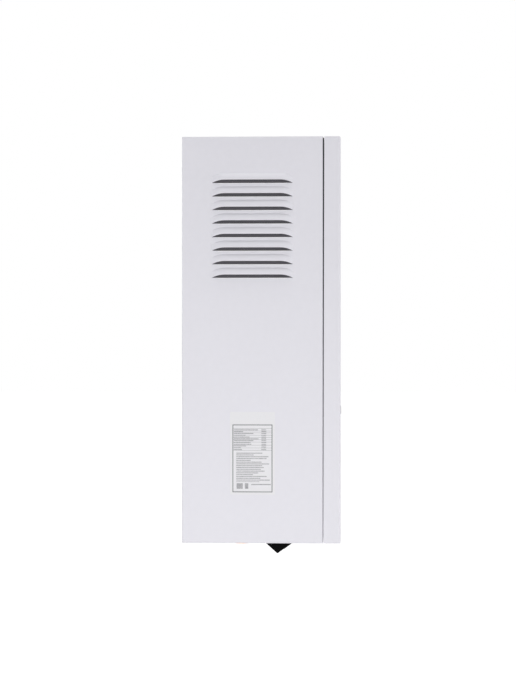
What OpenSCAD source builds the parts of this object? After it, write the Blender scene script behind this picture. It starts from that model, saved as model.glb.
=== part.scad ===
// Wall-hung electric boiler in a folded sheet-steel casing.
// The origin is on the wall, midway between the two screws of the wall bracket.
// +Z is up, -Y is the front and +X is to the right of someone facing the front.

/* [Casing] */
// Height of the casing
body_h = 590; // [580:1:640]
// Width of the casing
body_w = 380; // [376:1:430]
// Depth of the casing from the wall to its front edge
body_d = 204.7; // [203:0.1:230]
// Thickness of the casing sheet
sheet = 1.0; // [0.8:0.1:1.2]
// Outside radius of the folded edges
bend_r = 2.0; // [1.6:0.1:3]
// Width of the flanges folded inwards at the back, top and bottom
flange_w = 15; // [13:0.5:18]
// Width of the lip folded inwards at the front
lip_w = 12; // [11:0.5:13]
// Height of the casing top above the wall screws
bracket_drop = 45; // [42:1:60]
// Space between the wall and the back panel
back_recess = 12; // [12:0.5:16]

/* [Front cover] */
// Depth of the front cover from its rear edge to its face
cover_d = 23.8; // [23:0.1:30]
// Gap between cover and casing at the top
seam_top = 2.0; // [1.4:0.1:2.5]
// Gap between cover and casing at the bottom
seam_bottom = 0.5; // [0.4:0.05:1.4]
// Outside radius of the edges of the front face
cover_r = 3.0; // [2.2:0.1:5]
// Width of the return folded inwards at the rear edge of the cover
return_w = 9; // [7:0.5:10]
// Width of the foam strip that seals the cover
seal_w = 7; // [4:0.5:8]
// Distance of each fixing screw of the cover from the middle
cover_screw_x = 120; // [90:1:150]

/* [Louvers] */
// Number of louvers in each side
louver_n = 8; // [4:1:8]
// Distance between louvers
louver_pitch = 19.65; // [18:0.05:24]
// Length of one louver
louver_w = 121; // [80:1:140]
// How far a hood stands out from the side
louver_out = 5.5; // [4:0.1:6]
// Height of a hood above its slit
louver_h = 14.8; // [13:0.1:16]
// Height of the opening in the middle of a louver
louver_gap = 5.4; // [4:0.1:6]
// Length over which each end of a hood runs out
louver_end = 20; // [9:0.5:24]
// Distance of the first slit below the casing top
louver_top = 67.3; // [55:0.1:90]

/* [Wall bracket] */
// Length of the wall bracket
bracket_w = 240; // [230:1:280]
// Distance between the wall screws
screw_pitch = 200; // [180:1:210]
// Diameter of the screw holes
screw_hole_d = 9; // [7:0.5:10]
// Thickness of the wall bracket
bracket_t = 2; // [1.5:0.1:2.5]

/* [Rating plate] */
// Depth of the sticker along the casing
plate_w = 65; // [50:1:80]
// Height of the sticker
plate_h = 120; // [80:1:130]
// Distance from the wall to the near edge of the sticker
plate_back = 70; // [50:1:90]
// Height of the lower edge of the sticker above the casing bottom
plate_low = 70.5; // [50:0.5:90]

/* [Heating vessel] */
// Outside radius of the tank
tank_r = 42; // [40:0.5:42]
// Wall of the tank
tank_wall = 2; // [1.5:0.1:3]
// Distance of the tank axis from the left side of the casing
tank_side = 65; // [62:0.5:68]
// Distance of the tank axis from the wall
tank_back = 140; // [139:0.5:143]
// Height of the bottom of the tank above the casing bottom
tank_low = 95; // [90:1:105]
// Length of the tank
tank_h = 360; // [340:1:370]
// Thickness of the foam jacket
jacket_t = 8; // [5:0.5:9]
// Radius of the heating rods
rod_r = 4.25; // [3.5:0.05:4.5]
// Radius of the circle on which the heating rods stand
rod_circle = 26; // [24:0.5:28]

/* [Expansion vessel] */
// Outside radius of the expansion vessel shell
exp_r = 145; // [130:1:146]
// Depth of the expansion vessel
exp_d = 72; // [60:1:74]
// Thickness of the shell
exp_wall = 1.2; // [1:0.1:1.5]
// Distance of its centre from the casing bottom
exp_up = 415; // [412:1:420]

/* [Water circuit] */
// Radius of the copper pipe
pipe_r = 9; // [7.5:0.5:9.5]
// Wall of the copper pipe
pipe_wall = 1; // [0.8:0.1:1.2]
// Radius of the pipe bends
pipe_bend = 17; // [17:3:20]
// Outside radius of the threaded connections under the casing
thread_r = 13.22; // [10:0.01:14]
// How far the threaded connections reach below the casing
stub_l = 16; // [10:0.5:16]
// Distance of the water connections from the wall
stub_back = 80; // [78:0.5:84]
// Distance of the supply connection from the left side of the casing
supply_side = 145; // [144:0.5:148]
// Distance of the return connection from the right side of the casing
return_side = 95; // [92:0.5:98]
// Height of the pump axis above the casing bottom
pump_up = 120; // [118:1:126]
// Distance between the end faces of the pump connections
pump_l = 130; // [124:1:132]
// Radius of the pump housing
pump_r = 42; // [38:0.5:44]

/* [Switch housing] */
// Length of the switch housing from side to side
wedge_w = 120; // [110:1:120]
// Distance of its left end from the left side of the casing
wedge_side = 110; // [104:1:114]
// Depth of the housing below the casing
wedge_h = 28.3; // [26:0.1:29]
// Distance from the wall to the rear edge of the housing
wedge_back = 104; // [103.5:0.1:107]
// Depth of the rear slope
wedge_rear = 31.5; // [29:0.1:34]
// Depth of the front slope
wedge_front = 39; // [36:0.1:41]
// Radius of the gauge face
gauge_r = 19; // [16:0.5:19.5]

/* [Controls] */
// Width of the fascia in the front cover
fascia_w = 170; // [150:1:190]
// Height of the fascia
fascia_h = 64; // [58:1:66]
// Height of the middle of the fascia above the casing bottom
fascia_up = 205; // [202:1:208]
// Radius of the keys
key_r = 5.5; // [4.5:0.1:6.5]
// Distance between keys
key_pitch = 36; // [26:1:44]
// Travel of a key
key_travel = 0.8; // [0.5:0.1:1]

/* [Hidden] */
$fn = 48;
fit = 0.05;
clear = 0.3;
cut = 1;
top_z = bracket_drop;
floor_z = top_z - body_h;
plate_z = floor_z + 2 * sheet;
side_x = body_w / 2;
wall_x = side_x - sheet;
seat_x = side_x - bend_r;
bow_over = 7;
panel_y = -(back_recess + sheet);
face_y = -(body_d + seam_top + cover_d);
inner_face_y = face_y + sheet;
louver_y = -body_d / 2;

// Places of the water circuit
tank_x = -side_x + tank_side;
tank_y = -tank_back;
tank_z = floor_z + tank_low;
tank_top = tank_z + tank_h;
jacket_r = tank_r + jacket_t;
pump_x = side_x - return_side;
pump_z = floor_z + pump_up;
supply_x = -side_x + supply_side;
stub_y = -stub_back;
riser_y = -125;
exp_x = 20;
exp_z = floor_z + exp_up;
exp_y = panel_y - exp_d / 2;
valve_x = side_x - 32;
branch_z = floor_z + 28;
outlet_y = stub_y + 25;

// Places of the electrical pieces
tray_left = -55;
tray_right = side_x - 15;
tray_y = -150;
tray_low = floor_z + 250;
tray_t = 1.5;
board_low = floor_z + 330;
board_h = 205;
board_w = 150;
board_y = tray_y - tray_t - 6;
bar_y = -(body_d - sheet);
bar_t = 1.5;
module_d = 19;
module_front = bar_y - module_d;
fascia_z = floor_z + fascia_up;
fascia_skirt = 3;
key_z = fascia_z - 18;

// Places on the switch housing
apex_y = -(wedge_back + wedge_rear);
apex_z = floor_z - wedge_h;
slope_a = 180 - atan2(wedge_h, wedge_front);
wedge_x = -side_x + wedge_side;
rocker_side = 24;
dial_side = 28;
rocker_x = wedge_x + rocker_side;
rocker_s = 17.9;
dial_x = wedge_x + wedge_w - dial_side;
dial_s = 23;
housing_t = 2;

// Geometry helpers
function unit(v) = v / norm(v);
function arc(c, r, a0, a1, n = 5) =
  [for (i = [0 : n]) c + r * [cos(a0 + (a1 - a0) * i / n), sin(a0 + (a1 - a0) * i / n)]];
function round_rect(x0, y0, x1, y1, r) = concat(
  arc([x0 + r, y0 + r], r, 180, 270), arc([x1 - r, y0 + r], r, 270, 360),
  arc([x1 - r, y1 - r], r, 0, 90), arc([x0 + r, y1 - r], r, 90, 180));
function turn(pts, i) = acos(unit(pts[i] - pts[i - 1]) * unit(pts[i + 1] - pts[i]));
function trim(pts, i, bend) = bend * tan(turn(pts, i) / 2);

// A flat outline in x and z, given depth from y0 to y1
module extrude_y(y0, y1) {
  translate([0, y1, 0]) rotate([90, 0, 0]) linear_extrude(y1 - y0) children();
}

// A flat outline in y and z, given length from x0 to x1
module extrude_x(x0, x1) {
  translate([x0, 0, 0]) rotate([90, 0, 90]) linear_extrude(x1 - x0) children();
}

// A box between two corners
module block(a, b) {
  translate(a) cube(b - a);
}

// A round bar between two points
module rod(a, b, r) {
  d = unit(b - a);
  translate(a) rotate([0, acos(d[2]), atan2(d[1], d[0])]) cylinder(r = r, h = norm(b - a));
}

// A bar with parallel flats, such as a nut, between two points
module hex(a, b, r) {
  d = unit(b - a);
  translate(a) rotate([0, acos(d[2]), atan2(d[1], d[0])]) cylinder(r = r, h = norm(b - a), $fn = 6);
}

// Part of a ring that joins two legs of a route
module elbow(p, u, v, bend, r) {
  angle = acos(u * v);
  w = unit(v - (v * u) * u);
  z = cross(u, w);
  c = p - u * bend * tan(angle / 2) + w * bend;
  multmatrix([[-w[0], u[0], z[0], c[0]], [-w[1], u[1], z[1], c[1]], [-w[2], u[2], z[2], c[2]]])
    rotate_extrude(angle = angle) translate([bend, 0]) circle(r);
}

// A round bar along a route of points with bent corners
module route(pts, bend, r) {
  n = len(pts);
  for (i = [0 : n - 2]) {
    d = unit(pts[i + 1] - pts[i]);
    a = pts[i] + (i == 0 ? 0 : trim(pts, i, bend)) * d;
    b = pts[i + 1] - (i == n - 2 ? 0 : trim(pts, i + 1, bend)) * d;
    rod(a, b, r);
  }
  if (n > 2) for (i = [1 : n - 2])
    elbow(pts[i], unit(pts[i] - pts[i - 1]), unit(pts[i + 1] - pts[i]), bend, r);
}

// Wall bracket and casing
module wall_bracket() {
  hook_out = back_recess - 4;
  color("silver") difference() {
    extrude_x(-bracket_w / 2, bracket_w / 2) polygon([
      [0, -14], [-bracket_t, -14], [-bracket_t, 12], [-hook_out, 12], [-hook_out, 24],
      [-hook_out + bracket_t, 24], [-hook_out + bracket_t, 12 + bracket_t], [0, 12 + bracket_t]]);
    for (s = [-1, 1]) rod([s * screw_pitch / 2, cut, 0], [s * screw_pitch / 2, -bracket_t - cut, 0],
      screw_hole_d / 2);
  }
}

module hanger_rail() {
  rail_t = 1.5;
  extrude_x(-110, 110) polygon([
    [-back_recess, 40], [-back_recess + rail_t, 40], [-back_recess + rail_t, 24 + rail_t],
    [-3, 24 + rail_t], [-3, 16], [-3 - rail_t, 16], [-3 - rail_t, 24], [-back_recess, 24]]);
}

// Clip that holds the rim of the expansion vessel
module rim_clip() {
  r0 = exp_r + 6.3;
  extrude_y(exp_y - 5, panel_y + sheet / 2) translate([-12, r0]) square([24, 1.5]);
  extrude_y(exp_y - 5, exp_y - 3.6) translate([-12, r0 - 4]) square([24, 5.5]);
}

module back_panel() {
  color("white") {
    block([-wall_x, panel_y, plate_z], [wall_x, panel_y + sheet, top_z - 2 * sheet]);
    for (s = [-1, 1]) translate([s > 0 ? wall_x - sheet : -wall_x, panel_y - 12, plate_z])
      cube([sheet, 12 + cut / 2, body_h - 4 * sheet]);
    hanger_rail();
    translate([exp_x, 0, exp_z]) for (a = [45, 135, 225, 315]) rotate([0, a, 0]) rim_clip();
  }
}

module side_block(inset) {
  r = bend_r - inset;
  intersection() {
    translate([0, 0, floor_z]) linear_extrude(body_h) polygon(concat(
      arc([-inset - r, -inset - r], r, 90, 0), arc([-inset - r, -body_d + inset + r], r, 0, -90),
      [[-flange_w - inset * 20, -body_d + inset], [-flange_w - inset * 20, -inset]]));
    extrude_y(-body_d, 0) polygon(concat(
      arc([-inset - r, top_z - inset - r], r, 90, 0), arc([-inset - r, floor_z + inset + r], r, 0, -90),
      [[-flange_w - inset * 20, floor_z + inset], [-flange_w - inset * 20, top_z - inset]]));
  }
}

// Section of a hood, measured out from the side and up from the slit
function hood_section() = [[louver_out, 0], [louver_out, louver_gap],
  [louver_out * 0.9, louver_gap + (louver_h - louver_gap) * 0.3],
  [louver_out * 0.55, louver_gap + (louver_h - louver_gap) * 0.65], [0, louver_h]];
function inner_section() = [for (p = hood_section()) [p[0] - 0.9 * sheet, max(0, p[1] - 0.4 * sheet)]];

module hood_sweep(section) {
  bow_r = (pow(louver_end, 2) + pow(louver_out, 2)) / (2 * louver_out);
  bow_a = asin(louver_end / bow_r) + bow_over;
  half = louver_w / 2 - louver_end;
  extrude_y(-half, half) polygon(section);
  for (s = [0, 1]) mirror([0, s, 0]) translate([louver_out - bow_r, half, 0])
    rotate_extrude(angle = bow_a) translate([bow_r - louver_out, 0]) polygon(section);
}

module hood() {
  difference() {
    intersection() {
      hood_sweep(concat(hood_section(), [[-sheet, louver_h], [-sheet, 0]]));
      block([-sheet / 2, -louver_w, 0], [louver_out + cut, louver_w, louver_h + cut]);
    }
    extrude_y(-louver_w, louver_w) polygon([[0, -cut], [0, 0],
      [louver_out + cut, (louver_out + cut) * louver_gap / louver_out], [louver_out + cut, -cut]]);
  }
}

module each_louver() {
  for (i = [0 : louver_n - 1])
    translate([0, louver_y, top_z - louver_top - i * louver_pitch]) children();
}

// Right side of the casing with its outer face at x = 0
module side_panel() {
  difference() {
    union() {
      difference() {
        side_block(0);
        side_block(sheet);
        block([-flange_w - cut, -body_d - cut, floor_z + flange_w],
          [-lip_w, -body_d + 2 * sheet, top_z - flange_w]);
      }
      each_louver() hood();
    }
    each_louver() hood_sweep(concat(inner_section(),
      [[-2 * sheet, louver_h - 0.4 * sheet], [-2 * sheet, 0]]));
  }
}

module side_panel_right() {
  color("white") translate([side_x, 0, 0]) side_panel();
}

module side_panel_left() {
  color("white") mirror([1, 0, 0]) translate([side_x, 0, 0]) side_panel();
}

// Front and rear flanges of the top or bottom sheet, seated between the two sides
module top_panel() {
  z1 = top_z - sheet;
  color("white") {
    block([-seat_x, -body_d + sheet, z1 - sheet], [seat_x, -sheet, z1]);
    block([-side_x + flange_w, -body_d, z1 - lip_w], [side_x - flange_w, -body_d + sheet, z1]);
    block([-side_x + flange_w, -sheet, z1 - lip_w], [side_x - flange_w, 0, z1]);
  }
}

module bottom_panel() {
  z0 = floor_z + sheet;
  tab_z = floor_z + sheet + clear;
  color("white") difference() {
    union() {
      block([-seat_x, -body_d + sheet, z0], [seat_x, -sheet, z0 + sheet]);
      block([-side_x + flange_w, -body_d, z0], [side_x - flange_w, -body_d + sheet, z0 + lip_w]);
      block([-side_x + flange_w, -sheet, z0], [side_x - flange_w, 0, z0 + lip_w]);
      for (s = [-1, 1]) block([s * cover_screw_x - 10, -body_d - 18, tab_z],
        [s * cover_screw_x + 10, -body_d + 2 * sheet, tab_z + 1.5]);
      terminal_post();
    }
    for (s = [-1, 1]) rod([s * cover_screw_x, screw_y(), floor_z - cut],
      [s * cover_screw_x, screw_y(), floor_z + 6], 2 + fit);
    for (x = [supply_x, pump_x]) rod([x, stub_y, floor_z - cut], [x, stub_y, floor_z + 5], 13);
    rod([valve_x, outlet_y, floor_z - cut], [valve_x, outlet_y, floor_z + 5], 9);
    for (x = gland_xs()) rod([x, gland_y(), floor_z - cut], [x, gland_y(), floor_z + 5], 9);
    block([wedge_x + 4, apex_y - wedge_front + 3.3, floor_z - cut],
      [wedge_x + wedge_w - 4, apex_y + wedge_rear - 3.3, floor_z + 5]);
  }
}

function screw_y() = -(body_d + 11);
function gland_xs() = [pump_x - 24, pump_x + 10, pump_x + 44];
function gland_y() = -185;

// Rear edge of the cover, which closes more at the bottom where the screws pull
function rim_y(z) = -(body_d + seam_bottom + (seam_top - seam_bottom) * (z - floor_z) / body_h);

module cover_block(inset, rim) {
  r = cover_r - inset;
  z0 = floor_z + inset;
  z1 = top_z - inset;
  y0 = face_y + inset;
  intersection() {
    translate([0, 0, z0]) linear_extrude(z1 - z0) polygon(concat(
      arc([-side_x + inset + r, y0 + r], r, 180, 270), arc([side_x - inset - r, y0 + r], r, 270, 360),
      [[side_x - inset, -body_d + cut], [-side_x + inset, -body_d + cut]]));
    extrude_x(-side_x, side_x) polygon(concat(
      [[rim_y(z1) - rim, z1]], arc([y0 + r, z1 - r], r, 90, 180), arc([y0 + r, z0 + r], r, 180, 270),
      [[rim_y(z0) - rim, z0]]));
    extrude_y(y0, -body_d + cut) polygon(round_rect(-side_x + inset, z0, side_x - inset, z1,
      max(0.5, bend_r - inset)));
  }
}

module front_cover() {
  frame_in = sheet + return_w;
  color("white") difference() {
    cover_block(0, 0);
    cover_block(sheet, sheet);
    block([-side_x + frame_in, -body_d - 6, floor_z + frame_in], [side_x - frame_in, 0, top_z - frame_in]);
    extrude_y(face_y - cut, inner_face_y + cut) polygon(round_rect(-fascia_w / 2 - fit,
      fascia_z - fascia_h / 2 - fit, fascia_w / 2 + fit, fascia_z + fascia_h / 2 + fit, 4));
    for (s = [-1, 1]) {
      rod([s * cover_screw_x, screw_y(), floor_z - cut], [s * cover_screw_x, screw_y(), floor_z + 3], 2.5);
      block([s * cover_screw_x - 2.5, screw_y(), floor_z - cut], [s * cover_screw_x + 2.5, 0, floor_z + 3]);
      block([s * cover_screw_x - 12, -body_d - 6, floor_z + sheet],
        [s * cover_screw_x + 12, 0, floor_z + frame_in + cut]);
    }
  }
}

module cover_seal() {
  out = bend_r;
  tab = 11;
  color("dimgray") difference() {
    extrude_x(-side_x + out, side_x - out) polygon([[-body_d, floor_z + out], [-body_d, top_z - out],
      [rim_y(top_z) + clear, top_z - out], [rim_y(floor_z) + clear, floor_z + out]]);
    block([-side_x + out + seal_w, -body_d - 6, floor_z + out + seal_w],
      [side_x - out - seal_w, 0, top_z - out - seal_w]);
    for (s = [-1, 1]) block([s * cover_screw_x - tab, -body_d - 6, floor_z],
      [s * cover_screw_x + tab, 0, floor_z + lip_w + 2]);
  }
}

module cover_screws() {
  z0 = floor_z - clear;
  color("silver") for (s = [-1, 1]) {
    rod([s * cover_screw_x, screw_y(), z0], [s * cover_screw_x, screw_y(), floor_z + 7], 2);
    rod([s * cover_screw_x, screw_y(), z0 - 2.2], [s * cover_screw_x, screw_y(), z0], 4);
  }
}

module rating_plate() {
  z0 = floor_z + plate_low;
  color("whitesmoke") block([-side_x - 0.2, -plate_back - plate_w, z0], [-side_x, -plate_back, z0 + plate_h]);
}

// Heating vessel
function lower_stub() = unit([supply_x - tank_x, stub_y - tank_y, 0]);
function on_tank(r) = [tank_x, tank_y, tank_z + lower_up] + r * lower_stub();
function from_tank(r) = [tank_x + r, riser_y, tank_z + upper_up];
lower_up = 50;
upper_up = tank_h - 35;
neck_r = pipe_r + 2.4;
flange_r = tank_r + 10;
flange_t = 8;
gasket_t = 2;
bolt_circle = tank_r + 5;
bolt_r = 3;
gasket_z = tank_top;
lid_z = gasket_z + gasket_t;
rod_top = lid_z + flange_t + 14;

module at_tank(up) {
  translate([tank_x, tank_y, tank_z + up]) children();
}

module around(n, r, start = 0) {
  for (i = [0 : n - 1]) rotate([0, 0, start + i * 360 / n]) translate([r, 0, 0]) children();
}

module tank() {
  color("gainsboro") difference() {
    union() {
      at_tank(0) cylinder(r = tank_r, h = tank_h);
      at_tank(tank_h - flange_t) cylinder(r = flange_r, h = flange_t);
      rod(on_tank(0), on_tank(jacket_r + 14), neck_r);
      rod(from_tank(0), from_tank(jacket_r + 12), neck_r);
    }
    at_tank(3) cylinder(r = tank_r - tank_wall, h = tank_h);
    rod(on_tank(20), on_tank(jacket_r + 16), pipe_r + fit);
    rod(from_tank(20), from_tank(jacket_r + 16), pipe_r + fit);
    at_tank(tank_h - flange_t - cut) around(6, bolt_circle, 30)
      cylinder(r = bolt_r + 0.2, h = flange_t + 2 * cut);
  }
}

module tank_jacket() {
  color("darkgray") difference() {
    at_tank(2) cylinder(r = jacket_r, h = tank_h - flange_t - 10);
    at_tank(0) cylinder(r = tank_r + clear, h = tank_h);
    rod(on_tank(20), on_tank(jacket_r + 16), neck_r + clear);
    rod(from_tank(20), from_tank(jacket_r + 16), neck_r + clear);
    for (up = band_ups()) at_tank(up - clear) cylinder(r = jacket_r + cut, h = band_h + 2 * clear);
  }
}

// Steel bands that carry the tank on the back panel
band_h = 16;
band_t = 1.5;
function band_ups() = [85, tank_h - 95];

module tank_bands() {
  arm_x = tank_x - 30;
  color("silver") for (up = band_ups()) difference() {
    union() {
      at_tank(up) cylinder(r = tank_r + band_t + fit, h = band_h);
      block([arm_x - band_t, tank_y, tank_z + up], [arm_x, panel_y, tank_z + up + band_h]);
      block([arm_x - 14, panel_y - band_t, tank_z + up], [arm_x, panel_y, tank_z + up + band_h]);
    }
    at_tank(up - cut) cylinder(r = tank_r + fit, h = band_h + 2 * cut);
  }
}

module flange_gasket() {
  color("black") at_tank(tank_h) difference() {
    cylinder(r = flange_r, h = gasket_t);
    translate([0, 0, -cut]) cylinder(r = tank_r - tank_wall, h = gasket_t + 2 * cut);
    translate([0, 0, -cut]) around(6, bolt_circle, 30) cylinder(r = bolt_r + 0.2, h = gasket_t + 2 * cut);
  }
}

module element_flange() {
  color("darkkhaki") at_tank(tank_h + gasket_t) difference() {
    cylinder(r = flange_r, h = flange_t);
    translate([0, 0, -cut]) {
      cylinder(r = 9, h = flange_t + 2 * cut);
      around(6, rod_circle) cylinder(r = rod_r + fit, h = flange_t + 2 * cut);
      around(6, bolt_circle, 30) cylinder(r = bolt_r + 0.2, h = flange_t + 2 * cut);
    }
  }
}

module heating_rods() {
  u_r = rod_circle / 2;
  low = tank_z + 18 + u_r;
  color("slategray") translate([tank_x, tank_y, 0]) for (i = [0 : 2]) rotate([0, 0, i * 120 + 30]) {
    leg_x = rod_circle * cos(30);
    for (s = [-1, 1]) translate([leg_x, s * u_r, low]) cylinder(r = rod_r, h = rod_top - low);
    translate([leg_x, 0, low]) rotate([90, 0, 90]) rotate([0, 0, 180])
      rotate_extrude(angle = 180) translate([u_r, 0]) circle(rod_r);
  }
}

module flange_bolts() {
  low = tank_top - flange_t;
  high = lid_z + flange_t;
  color("silver") translate([tank_x, tank_y, 0]) around(6, bolt_circle, 30) {
    translate([0, 0, low - 6]) cylinder(r = bolt_r, h = high - low + 7);
    translate([0, 0, high]) cylinder(r = 5.5, h = 4, $fn = 6);
    translate([0, 0, low - 5]) cylinder(r = 4.9, h = 5, $fn = 6);
  }
}

module element_terminals() {
  color("gold") translate([tank_x, tank_y, rod_top]) around(6, rod_circle) {
    cylinder(r = 5.5, h = 5);
    translate([0, 0, 5]) cylinder(r = 2, h = 10);
    translate([0, 0, 7]) cylinder(r = 4, h = 3, $fn = 6);
  }
}

// Automatic air vent on the flange
vent_r = 14;
vent_z = lid_z + flange_t;
vent_wall = 2;
vent_travel = 8;

module air_vent() {
  color("goldenrod") translate([tank_x, tank_y, vent_z]) difference() {
    union() {
      translate([0, 0, -flange_t]) cylinder(r = 9 - fit, h = flange_t + 1);
      cylinder(r = 11, h = 8, $fn = 6);
      translate([0, 0, 8]) cylinder(r = vent_r, h = 42);
      translate([0, 0, 50]) cylinder(r = 6, h = 7);
      translate([0, 0, 57]) cylinder(r = 3, h = 4);
    }
    translate([0, 0, -flange_t - cut]) cylinder(r = 5, h = 20);
    translate([0, 0, 12]) cylinder(r = vent_r - vent_wall, h = 35);
  }
}

module vent_float() {
  h = 30 - vent_travel;
  color("ivory") translate([tank_x, tank_y, vent_z + 12 + clear]) {
    cylinder(r = vent_r - vent_wall - 0.5, h = h);
    translate([0, 0, h]) cylinder(r = 2, h = 3);
  }
}

// Flat expansion vessel of two pressed shells with a rubber membrane between them
shell_r = exp_d / 2;
rim_r = exp_r + 4;

module facing_front() {
  translate([exp_x, exp_y, exp_z]) rotate([90, 0, 0]) children();
}

module shell_half() {
  gap = 0.75;
  c = [exp_r - shell_r, 0];
  rotate_extrude($fn = 96) difference() {
    union() {
      polygon(concat([[0, 0], [0, shell_r]], arc(c, shell_r, 90, 0, 8)));
      translate([exp_r - 3, gap]) square([rim_r - exp_r + 3, exp_wall]);
    }
    polygon(concat([[0, -cut], [0, shell_r - exp_wall]],
      arc(c, shell_r - exp_wall, 90, 0, 8), [[exp_r - exp_wall, -cut]]));
    translate([0, -cut]) square([rim_r + cut, gap + cut]);
  }
}

module vessel_front_shell() {
  valve_up = 60;
  color("crimson") facing_front() {
    difference() {
      shell_half();
      translate([0, valve_up, 0]) cylinder(r = 4, h = shell_r + cut);
    }
    translate([0, valve_up, shell_r - exp_wall]) cylinder(r = 4, h = 9);
    translate([0, valve_up, shell_r + 7.8]) cylinder(r = 5.5, h = 4);
  }
}

module vessel_rear_shell() {
  color("crimson") difference() {
    union() {
      facing_front() mirror([0, 0, 1]) shell_half();
      rod([exp_x, vessel_port_y, exp_z - exp_r + 8], [exp_x, vessel_port_y, vessel_port_z], 7);
    }
    rod([exp_x, vessel_port_y, exp_z - exp_r + 20], [exp_x, vessel_port_y, vessel_port_z - cut], 5 + fit);
  }
}
vessel_port_y = exp_y + 14;
vessel_port_z = exp_z - exp_r - 16;

module vessel_ring() {
  lip = exp_wall + 0.75 + fit;
  color("silver") facing_front() rotate_extrude($fn = 96) difference() {
    translate([exp_r + 1, -lip - 1.2]) square([rim_r - exp_r + 1.2, 2 * lip + 2.4]);
    translate([0, -lip]) square([rim_r + 0.2, 2 * lip]);
  }
}

module vessel_membrane() {
  color("black") facing_front() rotate_extrude($fn = 96) polygon([
    [0, -14], [exp_r - 60, -14], [exp_r - 20, -0.7], [rim_r, -0.7], [rim_r, 0.7], [exp_r - 20.4, 0.7],
    [exp_r - 60.4, -12.6], [0, -12.6]]);
}

// Circulation pump with its axis from front to back
neck_top = pump_z + pump_l / 2;
neck_low = pump_z - pump_l / 2;
neck_thread = 15;
bowl_y0 = stub_y + 23;
bowl_y1 = stub_y - 23;
can_r = 37;
can_y = bowl_y1 - 60;
shaft_r = 5;
collar_r = 14;

module on_pump(y) {
  translate([pump_x, y, pump_z]) rotate([90, 0, 0]) children();
}

module pump_housing() {
  color("dimgray") difference() {
    union() {
      on_pump(bowl_y0) cylinder(r = pump_r, h = bowl_y0 - bowl_y1);
      rod([pump_x, stub_y, neck_low], [pump_x, stub_y, neck_top], neck_thread);
    }
    on_pump(bowl_y0 - 5) cylinder(r = pump_r - 6, h = bowl_y0 - bowl_y1);
    rod([pump_x, stub_y, neck_low - cut], [pump_x, stub_y, neck_top + cut], 8);
  }
}

module pump_motor() {
  color("firebrick") difference() {
    union() {
      on_pump(bowl_y1) cylinder(r = pump_r, h = 6);
      on_pump(bowl_y1) cylinder(r = can_r, h = bowl_y1 - can_y);
      on_pump(can_y) cylinder(r = 9, h = 4);
      block([pump_x + can_r - 6, can_y + 6, pump_z - 24], [pump_x + can_r + 34, can_y + 42, pump_z + 24]);
    }
    on_pump(bowl_y1 + cut) cylinder(r = shaft_r + fit, h = 8);
    on_pump(bowl_y1 - 4) cylinder(r = can_r - 12, h = 42);
    on_pump(bowl_y1 - 30) cylinder(r = shaft_r + fit, h = 26);
    rod([knob_x(), can_y + 9, pump_z], [knob_x(), can_y, pump_z], 3 + fit);
  }
}

function knob_x() = pump_x + can_r + 17;

module pump_rotor() {
  color("silver") {
    on_pump(bowl_y0 - 14) cylinder(r = pump_r - 12, h = 9);
    on_pump(bowl_y0 - 14) cylinder(r = shaft_r, h = 82);
    on_pump(bowl_y1 - 8) cylinder(r = can_r - 14, h = 34);
  }
}

module pump_knob() {
  color("dimgray") {
    translate([knob_x(), can_y + 8, pump_z]) rotate([90, 0, 0]) cylinder(r = 3, h = 4);
    translate([knob_x(), can_y + 6 - clear, pump_z]) rotate([90, 0, 0]) cylinder(r = 10, h = 6);
    block([knob_x() - 2, can_y - 5, pump_z - 9], [knob_x() + 2, can_y + 2, pump_z + 9]);
  }
}

// One nut over each end of the pump
module union_nut(z, s) {
  translate([pump_x, stub_y, z]) mirror([0, 0, s < 0 ? 1 : 0]) difference() {
    translate([0, 0, -14]) cylinder(r = 20, h = 24, $fn = 6);
    translate([0, 0, -14 - cut]) cylinder(r = neck_thread + fit, h = 18.2 + cut);
    translate([0, 0, -cut]) cylinder(r = pipe_r + 0.2, h = 20);
  }
}

module union_nuts() {
  color("goldenrod") {
    union_nut(neck_top, 1);
    union_nut(neck_low, -1);
  }
}

// Threaded connection under the casing with its shoulder inside
module stub(x) {
  rod([x, stub_y, floor_z - stub_l], [x, stub_y, floor_z], thread_r);
  rod([x, stub_y, floor_z - cut / 2], [x, stub_y, floor_z + 3], 12.6);
  hex([x, stub_y, plate_z], [x, stub_y, plate_z + 9], 17);
}

module return_pipe() {
  color("goldenrod") difference() {
    union() {
      stub(pump_x);
      rod([pump_x, stub_y, plate_z + 8], [pump_x, stub_y, neck_low - 3], pipe_r);
      rod([pump_x, stub_y, branch_z - 12], [pump_x, stub_y, branch_z + 12], pipe_r + 4);
      rod([pump_x, stub_y, neck_low - 3], [pump_x, stub_y, neck_low], collar_r);
      route([[pump_x + 6, stub_y, branch_z], [valve_x, stub_y, branch_z], [valve_x, stub_y, branch_z + 22]],
        12, 7);
      rod([pump_x, stub_y - 6, branch_z], [pump_x, stub_y - 20, branch_z], 7);
      rod([pump_x, stub_y + 6, branch_z], [pump_x, stub_y + 22, branch_z], 7.5);
    }
    rod([pump_x, stub_y, floor_z - stub_l - cut], [pump_x, stub_y, neck_low + cut], pipe_r - pipe_wall);
    rod([pump_x, stub_y + 12, branch_z], [pump_x, stub_y + 22 + cut, branch_z], 5 + fit);
  }
}

function pump_route() = [[pump_x, stub_y, neck_top + 1], [pump_x, stub_y, neck_top + 30],
  [supply_x, stub_y, neck_top + 30], [supply_x, stub_y, tank_z + lower_up],
  on_tank(jacket_r + 8)];

module pump_pipe() {
  color("peru") {
    rod([pump_x, stub_y, neck_top], [pump_x, stub_y, neck_top + 3], collar_r);
    route(pump_route(), pipe_bend, pipe_r);
  }
}

// Supply pipe in two pieces with the flow sensor between them
sensor_top = floor_z + 240;
sensor_low = floor_z + 188;
sensor_r = 15;

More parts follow.
